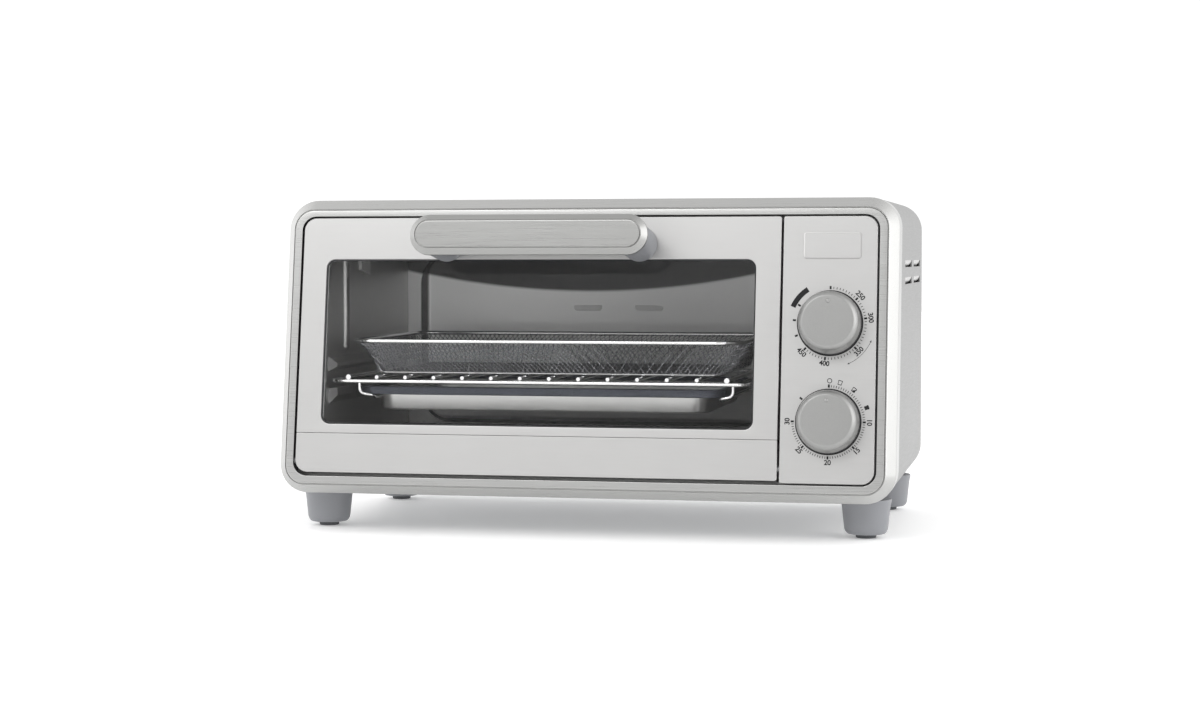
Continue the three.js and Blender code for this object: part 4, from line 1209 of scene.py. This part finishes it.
def dress_kept_nodes():
    for material, names in KEPT.items():
        for name in names:
            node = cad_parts[name]
            for holder in node.material_slots:
                holder.material = material
            softened = node.modifiers.new("soft_edges", "BEVEL")
            softened.width = 0.00018
            softened.segments = 2
            softened.limit_method = "ANGLE"
            softened.angle_limit = math.radians(50)


# ---- Stage, lamps and camera ----

def stage():
    mesh = bpy.data.meshes.new("floor")
    size = 6
    corners = [(-size, -size, 0), (size, -size, 0), (size, size, 0), (-size, size, 0)]
    mesh.from_pydata(corners, [], [(0, 1, 2, 3)])
    floor = bpy.data.objects.new("floor", mesh)
    bpy.context.scene.collection.objects.link(floor)
    paint = finish("floor_paint", (0.93, 0.93, 0.93), 0.6, 0.0, (30, 30, 30), 0.01, 0.03, 0.02)
    shader = paint.node_tree.nodes["Principled BSDF"]
    shader.inputs["Emission Color"].default_value = (1, 1, 1, 1)
    shader.inputs["Emission Strength"].default_value = 0.2
    mesh.materials.append(paint)


def lamp(name, at, look, size, watts):
    data = bpy.data.lights.new(name, "AREA")
    data.shape = "RECTANGLE"
    data.size, data.size_y = size
    data.energy = watts
    held = bpy.data.objects.new(name, data)
    bpy.context.scene.collection.objects.link(held)
    held.location = at
    held.rotation_euler = (Vector(look) - Vector(at)).to_track_quat("-Z", "Y").to_euler()


# Light from all round, given by the share of each axis in the direction looked at.
SKY_BASE = 0.62
SKY_LOBES = (("X", 1, 1.5), ("X", -1, 1.2), ("Y", -1, 0.1), ("Y", 1, 0.45), ("Z", 1, 0.3))


def sky():
    world = bpy.data.worlds.new("studio")
    bpy.context.scene.world = world
    world.use_nodes = True
    nodes = Nodes(world.node_tree)
    background = world.node_tree.nodes["Background"]
    place = nodes.add("ShaderNodeTexCoord")
    split = nodes.add("ShaderNodeSeparateXYZ")
    nodes.link(place.outputs["Generated"], split.inputs["Vector"])
    total = SKY_BASE
    for axis, way, gain in SKY_LOBES:
        facing = nodes.calculate("MULTIPLY", split.outputs[axis], way, use_clamp=True)
        square = nodes.calculate("POWER", facing, 2)
        total = nodes.calculate("MULTIPLY_ADD", square, gain, total)
    background.inputs["Color"].default_value = (1, 1, 1, 1)
    nodes.link(total, background.inputs["Strength"])


CAMERA_AT = Vector((0.32041, -1.55781, 0.185935))
CAMERA_YAW = math.radians(11.923)
CAMERA_PITCH = math.radians(-2.423)
CAMERA_ROLL = math.radians(-0.056)
CAMERA_LENS = 67.62


def camera():
    ahead = Vector((
        -math.sin(CAMERA_YAW) * math.cos(CAMERA_PITCH),
        math.cos(CAMERA_YAW) * math.cos(CAMERA_PITCH),
        math.sin(CAMERA_PITCH),
    ))
    right = Vector((math.cos(CAMERA_YAW), math.sin(CAMERA_YAW), 0))
    up = right.cross(ahead)
    across = right * math.cos(CAMERA_ROLL) + up * math.sin(CAMERA_ROLL)
    above = up * math.cos(CAMERA_ROLL) - right * math.sin(CAMERA_ROLL)
    data = bpy.data.cameras.new("camera")
    data.lens = CAMERA_LENS
    data.sensor_width = 36
    data.clip_start = 0.05
    data.clip_end = 50
    held = bpy.data.objects.new("camera", data)
    bpy.context.scene.collection.objects.link(held)
    turned = Matrix((across, above, -ahead)).transposed().to_4x4()
    held.matrix_world = Matrix.Translation(CAMERA_AT) @ turned
    bpy.context.scene.camera = held


bezel()
shell()
louvres()
feet()
door()
handle()
fascia()
dials()
dial_print_and_knob_shade()
cavity_back()
scoops()
wall_bead()
rib_ends()
painted_glass_glint()
heater_guard()
heaters()
rack()
basket()
pan()
dress_kept_nodes()
stage()
sky()
lamp("key", at=(-0.7, -1.9, 1.5), look=(0, 0, 0.12), size=(1.4, 0.9), watts=12)
lamp("right_strip", at=(1.9, -0.5, 0.7), look=(0.1, 0, 0.12), size=(0.8, 1.6), watts=5)
camera()
bpy.context.scene.view_settings.view_transform = "Standard"

bpy.context.view_layer.update()
